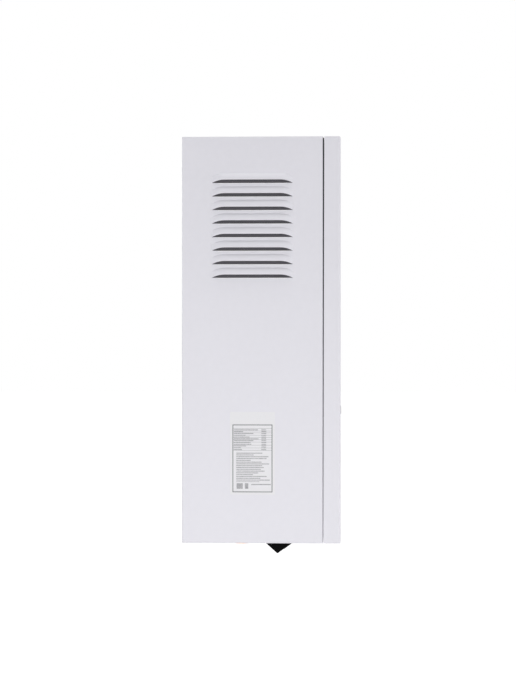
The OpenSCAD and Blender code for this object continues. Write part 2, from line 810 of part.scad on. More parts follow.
module supply_pipes() {
  low_z = floor_z + 100;
  color("peru") {
    route([from_tank(jacket_r + 8), [supply_x, riser_y, tank_z + upper_up],
      [supply_x, riser_y, sensor_top - 8]], pipe_bend, pipe_r);
    difference() {
      union() {
        stub(supply_x);
        route([[supply_x, riser_y, sensor_low + 8], [supply_x, riser_y, low_z],
          [supply_x, stub_y, low_z], [supply_x, stub_y, plate_z + 8]], pipe_bend, pipe_r);
      }
      rod([supply_x, stub_y, floor_z - stub_l - cut], [supply_x, stub_y, plate_z + 20], pipe_r - pipe_wall);
    }
  }
}

// Bar across the sensor that carries one end of the rotor axle
axle_r = 2;
spider_t = 3;

module spider(z) {
  difference() {
    block([supply_x - pipe_r - 3, riser_y - 3, z], [supply_x + pipe_r + 3, riser_y + 3, z + spider_t]);
    rod([supply_x, riser_y, z - cut], [supply_x, riser_y, z + spider_t + cut], axle_r + fit);
  }
}

module flow_sensor() {
  color("dimgray") {
    difference() {
      union() {
        rod([supply_x, riser_y, sensor_low], [supply_x, riser_y, sensor_top], sensor_r);
        block([supply_x - 9, riser_y - sensor_r - 6, sensor_low + 14],
          [supply_x + 9, riser_y - 11, sensor_top - 14]);
      }
      rod([supply_x, riser_y, sensor_low - cut], [supply_x, riser_y, sensor_top + cut], pipe_r + fit);
      rod([supply_x, riser_y, sensor_low + 12], [supply_x, riser_y, sensor_top - 12], pipe_r + 2);
    }
    spider(sensor_low + 12);
    spider(sensor_top - 12 - spider_t);
  }
}

module flow_rotor() {
  low = sensor_low + 12;
  high = sensor_top - 12;
  color("white") translate([supply_x, riser_y, 0]) {
    translate([0, 0, low]) cylinder(r = axle_r, h = high - low);
    translate([0, 0, low + spider_t + 2]) cylinder(r = 3.5, h = high - low - 2 * spider_t - 4);
    for (a = [0 : 60 : 300]) rotate([0, 0, a])
      block([1, -0.6, low + spider_t + 3], [pipe_r + 1, 0.6, high - spider_t - 3]);
  }
}

// Safety valve on the branch of the return pipe, with its outlet through the casing bottom
valve_z = branch_z + 22;
valve_r = 12;
cap_low = valve_z + 36;

module safety_valve() {
  bend_z = valve_z + 18;
  outlet = [[valve_x, stub_y, bend_z], [valve_x, outlet_y, bend_z], [valve_x, outlet_y, floor_z - 12]];
  drop = [0, 0, -1];
  color("goldenrod") {
    difference() {
      union() {
        hex([valve_x, stub_y, valve_z - 4], [valve_x, stub_y, valve_z + 8], 13);
        rod([valve_x, stub_y, valve_z + 7], [valve_x, stub_y, cap_low - clear], valve_r);
        route(outlet, 10, 8);
        rod([valve_x, stub_y, cap_low - 1], [valve_x, stub_y, cap_low + 8], 4);
      }
      rod([valve_x, stub_y, valve_z - 5], [valve_x, stub_y, valve_z], 7 + fit);
      rod([valve_x, stub_y, valve_z - 1], [valve_x, stub_y, bend_z], 5);
      route([outlet[0], outlet[1], outlet[2] + drop], 10, 6);
    }
  }
}

module safety_cap() {
  color("red") translate([valve_x, stub_y, cap_low]) difference() {
    union() {
      cylinder(r = 13, h = 14);
      for (a = [0 : 30 : 330]) rotate([0, 0, a]) translate([12.6, -1.5, 0]) cube([2.4, 3, 14]);
    }
    translate([0, 0, -cut]) cylinder(r = 4 + fit, h = 9.5 + cut);
  }
}

// Drain cock at the front of the return pipe
cock_y = stub_y - 20;

module drain_cock() {
  color("goldenrod") difference() {
    union() {
      rod([pump_x, cock_y + 6, branch_z], [pump_x, cock_y - 18, branch_z], 10);
      rod([pump_x, cock_y - 9, branch_z], [pump_x, cock_y - 9, branch_z - 18], 5.5);
    }
    rod([pump_x, cock_y + 6 + cut, branch_z], [pump_x, cock_y, branch_z], 7 + fit);
    rod([pump_x, cock_y + cut, branch_z], [pump_x, cock_y - 14, branch_z], 4);
    rod([pump_x, cock_y - 9, branch_z], [pump_x, cock_y - 9, branch_z - 19], 3);
    rod([pump_x, cock_y - 14 + cut, branch_z], [pump_x, cock_y - 19, branch_z], 3 + fit);
  }
}

module drain_lever() {
  y = cock_y - 18 - clear;
  color("red") {
    rod([pump_x, y + 4, branch_z], [pump_x, y - 1, branch_z], 3);
    rod([pump_x, y, branch_z], [pump_x, y - 5, branch_z], 7);
    block([pump_x - 4, y - 5, branch_z], [pump_x + 4, y - 1, branch_z + 24]);
  }
}

module vessel_pipe() {
  color("peru") route([[exp_x, vessel_port_y, vessel_port_z + 10], [exp_x, vessel_port_y, branch_z],
    [pump_x, vessel_port_y, branch_z], [pump_x, stub_y + 16, branch_z]], 12, 5);
}

// Housing of the main switch and the pressure gauge under the casing
module wedge(inset, x0, x1) {
  tip = 2 - inset / 2;
  steep = 90 - atan2(wedge_h, wedge_rear);
  flat = 90 - atan2(wedge_h, wedge_front);
  rear = inset / cos(90 - steep);
  front = inset / cos(90 - flat);
  c = [apex_y, apex_z + inset + tip * 1.32];
  y0 = apex_y - wedge_front + front * 1.6;
  y1 = apex_y + wedge_rear - rear * 1.4;
  extrude_x(x0, x1) polygon(concat(
    [[y1, floor_z], [y1, floor_z + sheet + inset], [y0, floor_z + sheet + inset], [y0, floor_z]],
    arc(c, tip, 180 + flat, 360 - steep, 4)));
}

module on_slope(s, x) {
  translate([x, apex_y, apex_z]) rotate([slope_a, 0, 0]) translate([0, s, 0]) children();
}

rocker_hole = [19, 12];
frame_t = 1.3;
module switch_housing() {
  x1 = wedge_x + wedge_w;
  color([0.06, 0.06, 0.07]) {
    difference() {
      wedge(0, wedge_x, x1);
      wedge(housing_t, wedge_x + housing_t, x1 - housing_t);
      on_slope(rocker_s, rocker_x) translate([-rocker_hole[0] / 2 - 1, -rocker_hole[1] / 2 - 1, -9])
        cube([rocker_hole[0] + 2, rocker_hole[1] + 2, 12]);
      on_slope(dial_s, dial_x) translate([0, 0, -12]) cylinder(r = gauge_r + fit, h = 16);
    }
    for (s = [0, 1]) translate([s * x1 + (1 - s) * wedge_x, apex_y, floor_z]) mirror([s, 0, 0]) {
      block([4.2, -12, -6], [6, 12, 2 * sheet + 2]);
      block([2, -12, -6], [6, 12, -4.5]);
      block([2.6, -12, 2 * sheet + clear], [6, 12, 2 * sheet + 2]);
    }
  }
}

// Switch with its frame, seated in the housing
module switch_frame() {
  w = rocker_hole[0];
  h = rocker_hole[1];
  color([0.05, 0.05, 0.05]) on_slope(rocker_s, rocker_x) difference() {
    union() {
      translate([-w / 2 - 2.5, -h / 2 - 1.2, 0]) cube([w + 5, h + 2.4, frame_t]);
      translate([-w / 2 - 0.9, -h / 2 - 0.9, -12]) cube([w + 1.8, h + 1.8, 12.5]);
    }
    translate([-w / 2, -h / 2, -9]) cube([w, h, 12]);
    translate([-w / 2 - 0.6, 0, rocker_pin]) rotate([0, 90, 0]) cylinder(r = 1 + fit, h = w + 1.2);
  }
}
rocker_pin = -2.2;
rocker_tilt = 8;

module main_switch() {
  w = rocker_hole[0] - 2 * clear;
  half = rocker_hole[1] / 2 - 0.6;
  rise = half * tan(rocker_tilt);
  color([0.7, 0.05, 0.05]) on_slope(rocker_s, rocker_x) translate([0, 0, rocker_pin])
    rotate([-rocker_tilt, 0, 0]) {
      extrude_x(-w / 2, w / 2) polygon([[-half, rise], [-half, 2.2 + rise], [0, 2.2], [half, 2.2 + rise],
        [half, rise], [2, -3], [-2, -3]]);
      translate([-w / 2 - 0.7, 0, 0]) rotate([0, 90, 0]) cylinder(r = 1, h = w + 1.4);
    }
}

// Pressure gauge
gauge_d = 12;
module pressure_gauge() {
  color("gainsboro") on_slope(dial_s, dial_x) difference() {
    union() {
      translate([0, 0, -gauge_d]) cylinder(r = gauge_r, h = gauge_d);
      cylinder(r = gauge_r + 1, h = 0.8);
    }
    translate([0, 0, -4.5]) cylinder(r = gauge_r - 1.5, h = 8);
    translate([0, 0, -7]) cylinder(r = 1 + fit, h = 4);
  }
}

module gauge_needle() {
  color("black") on_slope(dial_s, dial_x) translate([0, 0, -7]) {
    translate([0, 0, clear]) cylinder(r = 1, h = 4 - clear);
    translate([0, 0, 3]) cylinder(r = 2.4, h = 1);
    translate([-0.5, -5, 3.2]) cube([1, gauge_r * 0.62 + 5, 0.6]);
  }
}

module gauge_lens() {
  color("lightblue") on_slope(dial_s, dial_x) translate([0, 0, -1.2])
    cylinder(r = gauge_r - 1.5 - fit, h = 1.4);
}

// Electronics on a steel tray in front of the expansion vessel
module electronics_tray() {
  arm_h = 20;
  arm_z = tray_low - 12;
  tray_top = top_z - 2 * sheet;
  color("silver") {
    block([tray_left, tray_y - tray_t, tray_low - 12], [tray_right, tray_y, tray_top]);
    block([tray_left, tray_y - 14, tray_top - tray_t], [tray_right, tray_y, tray_top]);
    for (x = [tray_left + 35, tray_right - 5]) {
      block([x, tray_y - tray_t, arm_z], [x + tray_t, panel_y, arm_z + arm_h]);
      block([x, panel_y - tray_t, arm_z], [x + 14, panel_y, arm_z + arm_h]);
    }
  }
}

board_x0 = tray_left + 8;
module main_board() {
  color("darkgreen") {
    block([board_x0, board_y - 1.6, board_low], [board_x0 + board_w, board_y, board_low + board_h]);
    for (x = [board_x0 + 6, board_x0 + board_w - 6], z = [board_low + 6, board_low + board_h - 6]) {
      rod([x, tray_y - tray_t, z], [x, board_y + cut / 2, z], 3);
      rod([x, board_y - 1, z], [x, board_y - 4, z], 2.8);
    }
  }
}

// Boxes that stand on the board, each given as place, width, height and depth
module on_board(x, z, w, h, d) {
  y = board_y - 1.6;
  block([board_x0 + x, y - d, board_low + z], [board_x0 + x + w, y, board_low + z + h]);
}

module board_parts() {
  y = board_y - 1.6;
  color("royalblue") {
    for (i = [0 : 2]) on_board(16 + i * 40, 150, 30, 30, 24);
    on_board(16, 90, 42, 36, 30);
    for (i = [0 : 3]) on_board(14 + i * 32, 14, 26, 10, 9);
    on_board(76, 52, 18, 18, 2.4);
    on_board(22, 50, 34, 12, 11);
    for (x = [80, 98, 116]) translate([board_x0 + x, 0, board_low + 105])
      rod([0, y, 0], [0, y - 20, 0], 7);
  }
}

sink_x0 = board_x0 + board_w + 8;
sink_x1 = tray_right - 8;
module heat_sink() {
  y = tray_y - tray_t;
  fins = 7;
  pitch = (sink_x1 - sink_x0 - 2) / (fins - 1);
  color("gainsboro") {
    block([sink_x0, y - 5, board_low + 40], [sink_x1, y, board_low + board_h]);
    for (i = [0 : fins - 1]) block([sink_x0 + i * pitch, y - 34, board_low + 90],
      [sink_x0 + i * pitch + 2, y - 4, board_low + board_h]);
    for (i = [0 : 1]) block([sink_x0 + 8 + i * 26, y - 10, board_low + 52],
      [sink_x0 + 24 + i * 26, y - 4, board_low + 74]);
  }
}

// Mains terminals on a bracket that stands on the casing bottom
post_x0 = -60;
post_x1 = 42;
post_y = -176;
module terminal_post() {
  block([post_x0, post_y - tray_t, plate_z - sheet / 2], [post_x1, post_y, floor_z + 130]);
  block([post_x0, post_y - 22, plate_z - sheet / 2], [post_x1, post_y, plate_z + tray_t]);
}

module terminal_block() {
  y = post_y - tray_t;
  pitch = (post_x1 - post_x0 - 10) / 6;
  color("lightgray") for (i = [0 : 5]) translate([post_x0 + 5 + i * pitch, 0, 0]) difference() {
    block([0.1, y - 34, floor_z + 72], [pitch - 0.1, y, floor_z + 116]);
    for (z = [80, 106]) rod([pitch / 2, y - 35, floor_z + z], [pitch / 2, y - 26, floor_z + z], 3.5);
  }
}

// Overheat cut-out with its reset button, on the tray below the board
reset_x = tray_left + 90;
reset_z = tray_low + 30;
module cutout() {
  y = tray_y - tray_t;
  color("ivory") difference() {
    union() {
      block([reset_x - 16, y - 22, reset_z - 18], [reset_x + 16, y, reset_z + 18]);
      rod([reset_x, y - 21, reset_z], [reset_x, y - 27, reset_z], 6);
    }
    rod([reset_x, y - 16, reset_z], [reset_x, y - 28, reset_z], 3.5 + 0.1);
  }
}

reset_travel = 2;
module reset_button() {
  y = tray_y - tray_t;
  color("red") rod([reset_x, y - 16 - reset_travel - 0.4, reset_z], [reset_x, y - 31, reset_z], 3.5);
}

// Control panel
module display_bracket() {
  w = side_x - 3;
  color("silver") {
    block([-w, bar_y, fascia_z - 30], [w, bar_y + bar_t, fascia_z + 30]);
    for (z = [fascia_z - 30, fascia_z + 30 - bar_t])
      block([-w + lip_w, bar_y, z], [w - lip_w, bar_y + 8, z + bar_t]);
  }
}

module_w = fascia_w - 12;
module_h = fascia_h - 12;
function key_xs() = [for (i = [0 : 2]) (i - 1) * key_pitch];
module display_module() {
  color("dimgray") difference() {
    union() {
      block([-module_w / 2, module_front, fascia_z - module_h / 2],
        [module_w / 2, bar_y, fascia_z + module_h / 2]);
      block([-44, module_front - 2, fascia_z - 5], [44, module_front, fascia_z + 21]);
    }
    for (x = key_xs())
      rod([x, module_front - cut, key_z], [x, module_front + key_socket, key_z], key_r + 0.2);
  }
}
key_socket = 4;

module fascia() {
  proud = 0.5;
  w = fascia_w / 2;
  h = fascia_h / 2;
  color([0.05, 0.05, 0.06]) difference() {
    union() {
      extrude_y(face_y - proud, inner_face_y + 1) polygon(round_rect(-w, fascia_z - h, w, fascia_z + h, 4));
      extrude_y(inner_face_y, inner_face_y + 1) polygon(round_rect(-w - fascia_skirt,
        fascia_z - h - fascia_skirt, w + fascia_skirt, fascia_z + h + fascia_skirt, 4));
    }
    for (x = key_xs()) rod([x, face_y - 2, key_z], [x, inner_face_y + 3, key_z], key_r + clear);
  }
}

module key(i) {
  rear = module_front + key_socket - key_travel - 0.5;
  color("lightgray") rod([key_xs()[i], rear, key_z], [key_xs()[i], face_y - 1.5, key_z], key_r);
}

module key_minus() {
  key(0);
}

module key_plus() {
  key(1);
}

module key_menu() {
  key(2);
}

// Low rubber glands for the cables, and the wires inside
module cable_glands() {
  color("black") for (x = gland_xs()) translate([x, gland_y(), floor_z]) difference() {
    union() {
      translate([0, 0, -2]) cylinder(r = 11, h = 2 + sheet - fit);
      translate([0, 0, -1]) cylinder(r = 9 - fit, h = 2 * sheet + 2);
      translate([0, 0, 2 * sheet + fit]) cylinder(r = 10.5, h = 2);
    }
    translate([0, 0, -3]) cylinder(r = 5, h = 9);
  }
}

module wiring() {
  wire_r = 1.6;
  bend = 5;
  y0 = post_y - tray_t - 5;
  y1 = board_y - 1.6 - 5;
  y2 = board_y - 1.6 - 16;
  color("black") for (i = [0 : 2]) {
    x0 = post_x0 + 5 + (i + 0.5) * (post_x1 - post_x0 - 10) / 6;
    x1 = board_x0 + 27 + i * 32;
    lane = board_low - 24 - i * 8;
    start = [tank_x, tank_y, 0] + rod_circle * [cos(i * 60), -sin(i * 60), 0];
    x2 = board_x0 + 31 + i * 40;
    high = board_low + 195 + i * 8;
    route([[x0, y0, floor_z + 116], [x0, y0, lane], [x1, y0, lane], [x1, y0, board_low - 4],
      [x1, y1, board_low - 4], [x1, y1, board_low + 14]], bend, wire_r);
    route([[start[0], start[1], rod_top + 15], [start[0], start[1], high], [start[0], y2, high],
      [x2, y2, high], [x2, y2, board_low + 180]], bend, wire_r);
  }
}

wall_bracket();
back_panel();
side_panel_left();
side_panel_right();
top_panel();
bottom_panel();
front_cover();
cover_seal();
cover_screws();
rating_plate();
tank();
tank_jacket();
tank_bands();
flange_gasket();
element_flange();
heating_rods();
flange_bolts();
element_terminals();
air_vent();
vent_float();
vessel_rear_shell();
vessel_front_shell();
vessel_ring();
vessel_membrane();
vessel_pipe();
pump_housing();
pump_motor();
pump_rotor();
pump_knob();
union_nuts();
return_pipe();
pump_pipe();
supply_pipes();
flow_sensor();
flow_rotor();
safety_valve();
safety_cap();
drain_cock();
drain_lever();
switch_housing();
switch_frame();
main_switch();
pressure_gauge();
gauge_needle();
gauge_lens();
electronics_tray();
main_board();
board_parts();
heat_sink();
terminal_block();
cutout();
reset_button();
display_bracket();
display_module();
fascia();
key_minus();
key_plus();
key_menu();
cable_glands();
wiring();
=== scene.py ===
"""Dresses the wall-hung electric boiler: painted casing, printed sticker, controls and the works inside."""

import logging
import math
from dataclasses import dataclass
from enum import Enum
from functools import reduce

import bmesh
import bpy
from mathutils import Matrix, Vector

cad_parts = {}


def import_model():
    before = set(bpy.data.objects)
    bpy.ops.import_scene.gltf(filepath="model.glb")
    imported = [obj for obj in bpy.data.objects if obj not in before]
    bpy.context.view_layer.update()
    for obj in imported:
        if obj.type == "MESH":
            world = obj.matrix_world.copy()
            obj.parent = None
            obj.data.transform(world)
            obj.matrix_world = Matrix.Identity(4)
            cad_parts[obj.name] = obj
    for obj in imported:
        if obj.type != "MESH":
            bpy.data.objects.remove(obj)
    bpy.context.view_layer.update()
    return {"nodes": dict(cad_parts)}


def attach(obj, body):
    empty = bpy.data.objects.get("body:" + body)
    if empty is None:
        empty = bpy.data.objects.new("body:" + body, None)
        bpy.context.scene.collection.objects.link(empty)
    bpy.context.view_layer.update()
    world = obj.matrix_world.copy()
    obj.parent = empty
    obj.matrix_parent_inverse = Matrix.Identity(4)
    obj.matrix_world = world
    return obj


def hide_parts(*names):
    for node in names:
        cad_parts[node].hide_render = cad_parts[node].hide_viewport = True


MM = 0.001
LOG = logging.getLogger("boiler")

Colour = tuple[float, float, float]
Point = tuple[float, float, float]
Pair = tuple[float, float]
Row = tuple[float, ...]
Socket = bpy.types.NodeSocket
Material = bpy.types.Material
Thing = bpy.types.Object
Nodes = dict[str, Thing]
Faces = list[bmesh.types.BMFace]
Verts = list[bmesh.types.BMVert]


class Grain(Enum):
    """How a surface is worked."""

    PEEL = "orange peel of powder coat"
    SPANGLE = "zinc crystals"
    CAST = "sand cast"
    DRAWN = "drawn or turned metal"
    MOULDED = "fine moulded texture"
    CELLS = "open foam"
    FIBRE = "paper or film"
    WEAVE = "glass weave under lacquer"


@dataclass(frozen=True)
class Finish:
    """A surface finish with its own node material.

    The colour drifts between two tones, the roughness varies in patches and the grain gives the bump. Scales are
    features a metre, the depth of the bump is in metres. PATCH, CLOUD and SPOTS are each the scale and the detail
    of a noise.
    """

    name: str
    colour: Colour
    rough: float
    grain: Grain = Grain.MOULDED
    metal: float = 0.0
    drift: float = 0.06
    scale: float = 900.0
    depth: float = 0.00004
    strength: float = 0.35
    coat: float = 0.0
    tint: Colour = (0.62, 0.58, 0.52)
    wear: float = 0.0
    gloss: float = 0.5
    glass: float = 0.0
    glow: float = 0.0
    stretch: Point = (1.0, 1.0, 1.0)

    PATCH = (14.0, 3.0)
    CLOUD = (110.0, 4.0)
    CLOUDED = 0.6
    TONES = (0.35, 0.65)
    LIGHTER = 0.6
    SHADED = (0.2, 0.8, 0.0, 0.55)
    SHADE = 0.72
    SPOTS = (420.0, 6.0)
    SPOTTED = (0.66, 0.78, 0.0)
    UNEVEN = 0.07
    SMOOTHEST = 0.02

    def material(self) -> Material:
        """Makes the material, or gives back the one already made.

        Returns:
            The Blender material of this finish.
        """
        found = bpy.data.materials.get(f"finish_{self.name}")
        if found:
            return found
        sheet = NodeSheet(f"finish_{self.name}")
        place = sheet.place(self.stretch)
        height = self._height(sheet, place)
        tone = sheet.mix_number(self.CLOUDED, sheet.noise(place, *self.PATCH), sheet.noise(place, *self.CLOUD))
        dark = tuple(c * (1.0 - self.drift) for c in self.colour)
        light = tuple(min(1.0, c * (1.0 + self.drift * self.LIGHTER)) for c in self.colour)
        colour = sheet.mix_colour(sheet.spread(tone, *self.TONES), dark, light)
        if self.grain in (Grain.SPANGLE, Grain.CAST, Grain.CELLS):
            colour = sheet.mix_colour(sheet.spread(height, *self.SHADED), colour,
                                      tuple(c * self.SHADE for c in self.colour))
        if self.wear > 0.0:
            spots = sheet.spread(sheet.noise(place, *self.SPOTS), *self.SPOTTED, self.wear)
            colour = sheet.mix_colour(spots, colour, self.tint)
        rough = sheet.spread(tone, *NodeSheet.NOISE, max(self.SMOOTHEST, self.rough - self.UNEVEN),
                             min(1.0, self.rough + self.UNEVEN))
        return sheet.shader(self, colour, rough, height)

    def _height(self, sheet: "NodeSheet", place: Socket) -> Socket:
        """Adds the nodes of the grain.

        Args:
            sheet: the node sheet that is being filled.
            place: the coordinates that the pattern reads.

        Returns:
            The socket with the height of the surface.
        """
        size, noise, cells = self.scale, sheet.noise, sheet.cells
        if self.grain is Grain.SPANGLE:
            return sheet.mix_number(0.3, cells(place, size, "F1"), noise(place, size * 4, 2.0))
        if self.grain is Grain.CELLS:
            return cells(place, size, "DISTANCE_TO_EDGE")
        if self.grain is Grain.DRAWN:
            return sheet.mix_number(0.5, noise(place, size, 2.0), noise(place, size * 0.2, 2.0))
        if self.grain is Grain.CAST:
            return sheet.mix_number(0.5, noise(place, size, 6.0), cells(place, size * 0.6, "F1"))
        if self.grain is Grain.WEAVE:
            return sheet.mix_number(0.5, sheet.waves(place, size, "X"), sheet.waves(place, size, "Z"))
        return sheet.mix_number(0.35, noise(place, size, 2.0), noise(place, size * 0.35, 2.0))


class NodeSheet:
    """The node tree of one material, or of the world, with short calls for the nodes that they share.

    Nearly all of a noise lies in the range NOISE.
    """

    COAT_ROUGH = 0.08
    NOISE = (0.3, 0.7)

    def __init__(self, name: str, world: bool = False) -> None:
        """Starts an empty material, or an empty world.

        Args:
            name: its name.
            world: True for a world.
        """
        self.made = (bpy.data.worlds if world else bpy.data.materials).new(name)
        self.made.use_nodes = True
        self.tree = self.made.node_tree
        self.tree.nodes.clear()
        self.out = self.add("ShaderNodeOutputWorld" if world else "ShaderNodeOutputMaterial").inputs["Surface"]

    def add(self, kind: str, inputs: dict[str | int, object] | None = None, **settings: object) -> bpy.types.Node:
        """Adds a node.

        Args:
            kind: its type.
            inputs: what goes into its inputs, by their names or numbers.
            settings: its properties.

        Returns:
            The node.
        """
        node = self.tree.nodes.new(kind)
        for key, value in settings.items():
            setattr(node, key, value)
        for key, value in (inputs or {}).items():
            self.put(node.inputs[key], value)
        return node

    def put(self, socket: Socket, value: object) -> None:
        """Links a socket to another, or writes a plain value on it.

        Args:
            socket: the input that is filled.
            value: an output socket, a number, a vector or a colour.
        """
        if isinstance(value, Socket):
            self.tree.links.new(value, socket)
        else:
            socket.default_value = (*value[:3], 1.0) if socket.type == "RGBA" else value

    def place(self, stretch: Point = (1.0, 1.0, 1.0), shift: Point = (0.0, 0.0, 0.0),
              turn: Point = (0.0, 0.0, 0.0)) -> Socket:
        """Gives the object coordinates of a frame of their own.

        Args:
            stretch: how much longer the frame is along each axis.
            shift: its origin, in metres.
            turn: its angles.

        Returns:
            The coordinates.
        """
        own = self.add("ShaderNodeTexCoord").outputs["Object"]
        size = tuple(1.0 / s for s in stretch)
        return self.add("ShaderNodeMapping", {"Vector": own, "Location": shift, "Rotation": turn, "Scale": size},
                        vector_type="TEXTURE").outputs["Vector"]

    def noise(self, where: Socket, scale: float, detail: float) -> Socket:
        """Fractal noise with that many features a metre."""
        return self.add("ShaderNodeTexNoise", {"Vector": where, "Scale": scale, "Detail": detail}).outputs["Fac"]

    def cells(self, where: Socket, scale: float, feature: str) -> Socket:
        """Voronoi cells with that many a metre."""
        node = self.add("ShaderNodeTexVoronoi", {"Vector": where, "Scale": scale}, feature=feature)
        return node.outputs["Distance"]

    def waves(self, where: Socket, scale: float, along: str) -> Socket:
        """Even bands across one axis."""
        node = self.add("ShaderNodeTexWave", {"Vector": where, "Scale": scale}, bands_direction=along)
        return node.outputs["Fac"]

    def maths(self, work: str, *values: object) -> Socket:
        """One Math node of that operation."""
        return self.add("ShaderNodeMath", dict(enumerate(values)), operation=work).outputs["Value"]

    def times(self, *values: object) -> Socket:
        """The product of all values."""
        return reduce(lambda a, b: self.maths("MULTIPLY", a, b), values)

    def most(self, *values: object) -> Socket:
        """The greatest of all values."""
        return reduce(lambda a, b: self.maths("MAXIMUM", a, b), values)

    def near(self, value: object, middle: float, reach: float) -> Socket:
        """One where a value lies within reach of the middle."""
        return self.maths("COMPARE", value, middle, reach)

    def spread(self, value: object, low: float, high: float, to_low: float = 0.0,
               to_high: float = 1.0) -> Socket:
        """Maps a range of a value to another range and clamps it."""
        node = self.add("ShaderNodeMapRange", {0: value, 1: low, 2: high, 3: to_low, 4: to_high})
        return node.outputs["Result"]

    def mix_number(self, share: object, first: object, second: object) -> Socket:
        """A number between two others."""
        return self.add("ShaderNodeMix", {0: share, 2: first, 3: second}, data_type="FLOAT").outputs[0]

    def mix_colour(self, share: object, first: object, second: object) -> Socket:
        """A colour between two others."""
        return self.add("ShaderNodeMix", {0: share, 6: first, 7: second}, data_type="RGBA").outputs[2]

    def axes(self, where: Socket) -> tuple[Socket, ...]:
        """The three numbers of a vector."""
        return tuple(self.add("ShaderNodeSeparateXYZ", {0: where}).outputs)

    def sees_white(self) -> Socket:
        """One for the rays that see the background: camera, glossy and transmission rays."""
        rays = self.add("ShaderNodeLightPath").outputs
        return self.most(*(rays[f"Is {kind} Ray"] for kind in ("Camera", "Glossy", "Transmission")))

    def shader(self, finish: Finish, colour: Socket, rough: Socket, height: Socket) -> Material:
        """Adds the surface shader with the finish's own numbers, and ends the sheet.

        Args:
            finish: the finish that gives metal, coat, glass, glow and bump.
            colour: the colour.
            rough: the roughness.
            height: the height for the bump.

        Returns:
            The material.
        """
        bump = self.add(
            "ShaderNodeBump", {"Strength": finish.strength, "Distance": finish.depth, "Height": height})
        lit = self.add("ShaderNodeBsdfPrincipled", {
            "Base Color": colour, "Roughness": rough, "Metallic": finish.metal, "Coat Weight": finish.coat,
            "Coat Roughness": self.COAT_ROUGH, "Specular IOR Level": finish.gloss,
            "Transmission Weight": finish.glass, "Normal": bump.outputs["Normal"]})
        if finish.glow > 0.0:
            self.put(lit.inputs["Emission Color"], finish.colour)
            self.put(lit.inputs["Emission Strength"], finish.glow)
        self.put(self.out, lit.outputs["BSDF"])
        return self.made


WHITE_COAT = Finish(
    "white_coat", (0.792, 0.783, 0.838), 0.42, Grain.PEEL, drift=0.012, scale=420.0, depth=0.00006, strength=0.22,
    coat=0.12)
# Whiter than the casing paint: a painted highlight along the lower edge of each slit.
LIP_PAINTED_HIGHLIGHT = Finish("lip_painted_highlight", (0.93, 0.925, 0.95), 0.3, Grain.PEEL, drift=0.01, scale=420.0, depth=0.00001)
# Dark sheet behind the slits: painted shade standing in for the dark inside of the louvers.
SLOT_SHADE_SHEET = Finish("painted_slot_shade", (0.11, 0.106, 0.118), 0.8, Grain.WEAVE, drift=0.1, depth=0.00005)
ZINC_SHEET = Finish(
    "zinc_sheet", (0.56, 0.57, 0.58), 0.42, Grain.SPANGLE, metal=0.9, scale=130.0, depth=0.00002, strength=0.2,
    drift=0.12)
ZINC_SCREW = Finish(
    "zinc_screw", (0.62, 0.61, 0.56), 0.3, Grain.DRAWN, metal=1.0, scale=1500.0, depth=0.00002, strength=0.3,
    tint=(0.62, 0.55, 0.35), wear=0.3)
STEEL = Finish(
    "steel", (0.52, 0.51, 0.5), 0.34, Grain.DRAWN, metal=1.0, scale=600.0, depth=0.00003, strength=0.25,
    stretch=(1.0, 1.0, 0.15), wear=0.25, tint=(0.4, 0.33, 0.26))
FOAM_BLACK = Finish("foam_black", (0.028, 0.028, 0.03), 0.92, Grain.CELLS, depth=0.0004, strength=0.8)
FOAM_GREY = Finish(
    "foam_grey", (0.12, 0.125, 0.135), 0.88, Grain.CELLS, scale=420.0, depth=0.0008, strength=0.7, drift=0.15)
STICKER = Finish(
    "sticker", (0.8, 0.8, 0.825), 0.38, Grain.FIBRE, drift=0.015, scale=1400.0, coat=0.1, depth=0.000006,
    strength=0.2)
RUBBER = Finish("rubber", (0.03, 0.03, 0.032), 0.62, depth=0.00008, drift=0.2)
BRASS = Finish(
    "brass", (0.72, 0.52, 0.24), 0.3, Grain.CAST, metal=1.0, scale=520.0, depth=0.00005, wear=0.35,
    tint=(0.38, 0.25, 0.13), drift=0.1)
ROD_STEEL = Finish(
    "rod_steel", (0.33, 0.28, 0.24), 0.4, Grain.DRAWN, metal=1.0, drift=0.3, wear=0.4, tint=(0.22, 0.2, 0.3))
TERMINAL_METAL = Finish("terminal_metal", (0.7, 0.66, 0.56), 0.3, Grain.DRAWN, metal=1.0, wear=0.3)
FLOAT_PLASTIC = Finish("float_plastic", (0.75, 0.74, 0.68), 0.4, drift=0.08)
GREY_ENAMEL = Finish(
    "grey_enamel", (0.11, 0.115, 0.125), 0.36, Grain.PEEL, scale=260.0, depth=0.00012, strength=0.4, coat=0.2,
    wear=0.12, tint=(0.05, 0.05, 0.05))
COPPER = Finish(
    "copper", (0.76, 0.38, 0.24), 0.28, Grain.DRAWN, metal=1.0, drift=0.16, scale=500.0, wear=0.5,
    tint=(0.36, 0.16, 0.1))
PUMP_IRON = Finish(
    "pump_iron", (0.2, 0.2, 0.2), 0.55, Grain.CAST, metal=0.55, scale=700.0, depth=0.0004, strength=0.8,
    drift=0.2)
PUMP_RED = Finish(
    "pump_red", (0.36, 0.035, 0.03), 0.42, scale=500.0, depth=0.00012, strength=0.5, coat=0.1, drift=0.1)
# Real black plastic, made darker than black plastic really is: partly painted shade under the casing.
BLACK_PLASTIC_AND_SHADE = Finish(
    "black_plastic", (0.0022, 0.0022, 0.0025), 0.5, scale=1100.0, strength=0.4, drift=0.3, gloss=0.035)
RED_PLASTIC = Finish("red_plastic", (0.48, 0.03, 0.02), 0.4, drift=0.1)
NEEDLE_BLACK = Finish("needle_black", (0.02, 0.02, 0.022), 0.35, drift=0.2)
GAUGE_GLASS = Finish("gauge_glass", (0.96, 0.97, 0.97), 0.07, drift=0.01, glass=1.0, depth=0.000005, strength=0.1)
BOARD_GREEN = Finish(
    "board_green", (0.02, 0.13, 0.05), 0.3, Grain.WEAVE, drift=0.18, scale=260.0, depth=0.00003, coat=0.3)
PART_BLACK = Finish("part_black", (0.03, 0.03, 0.033), 0.4, drift=0.25)
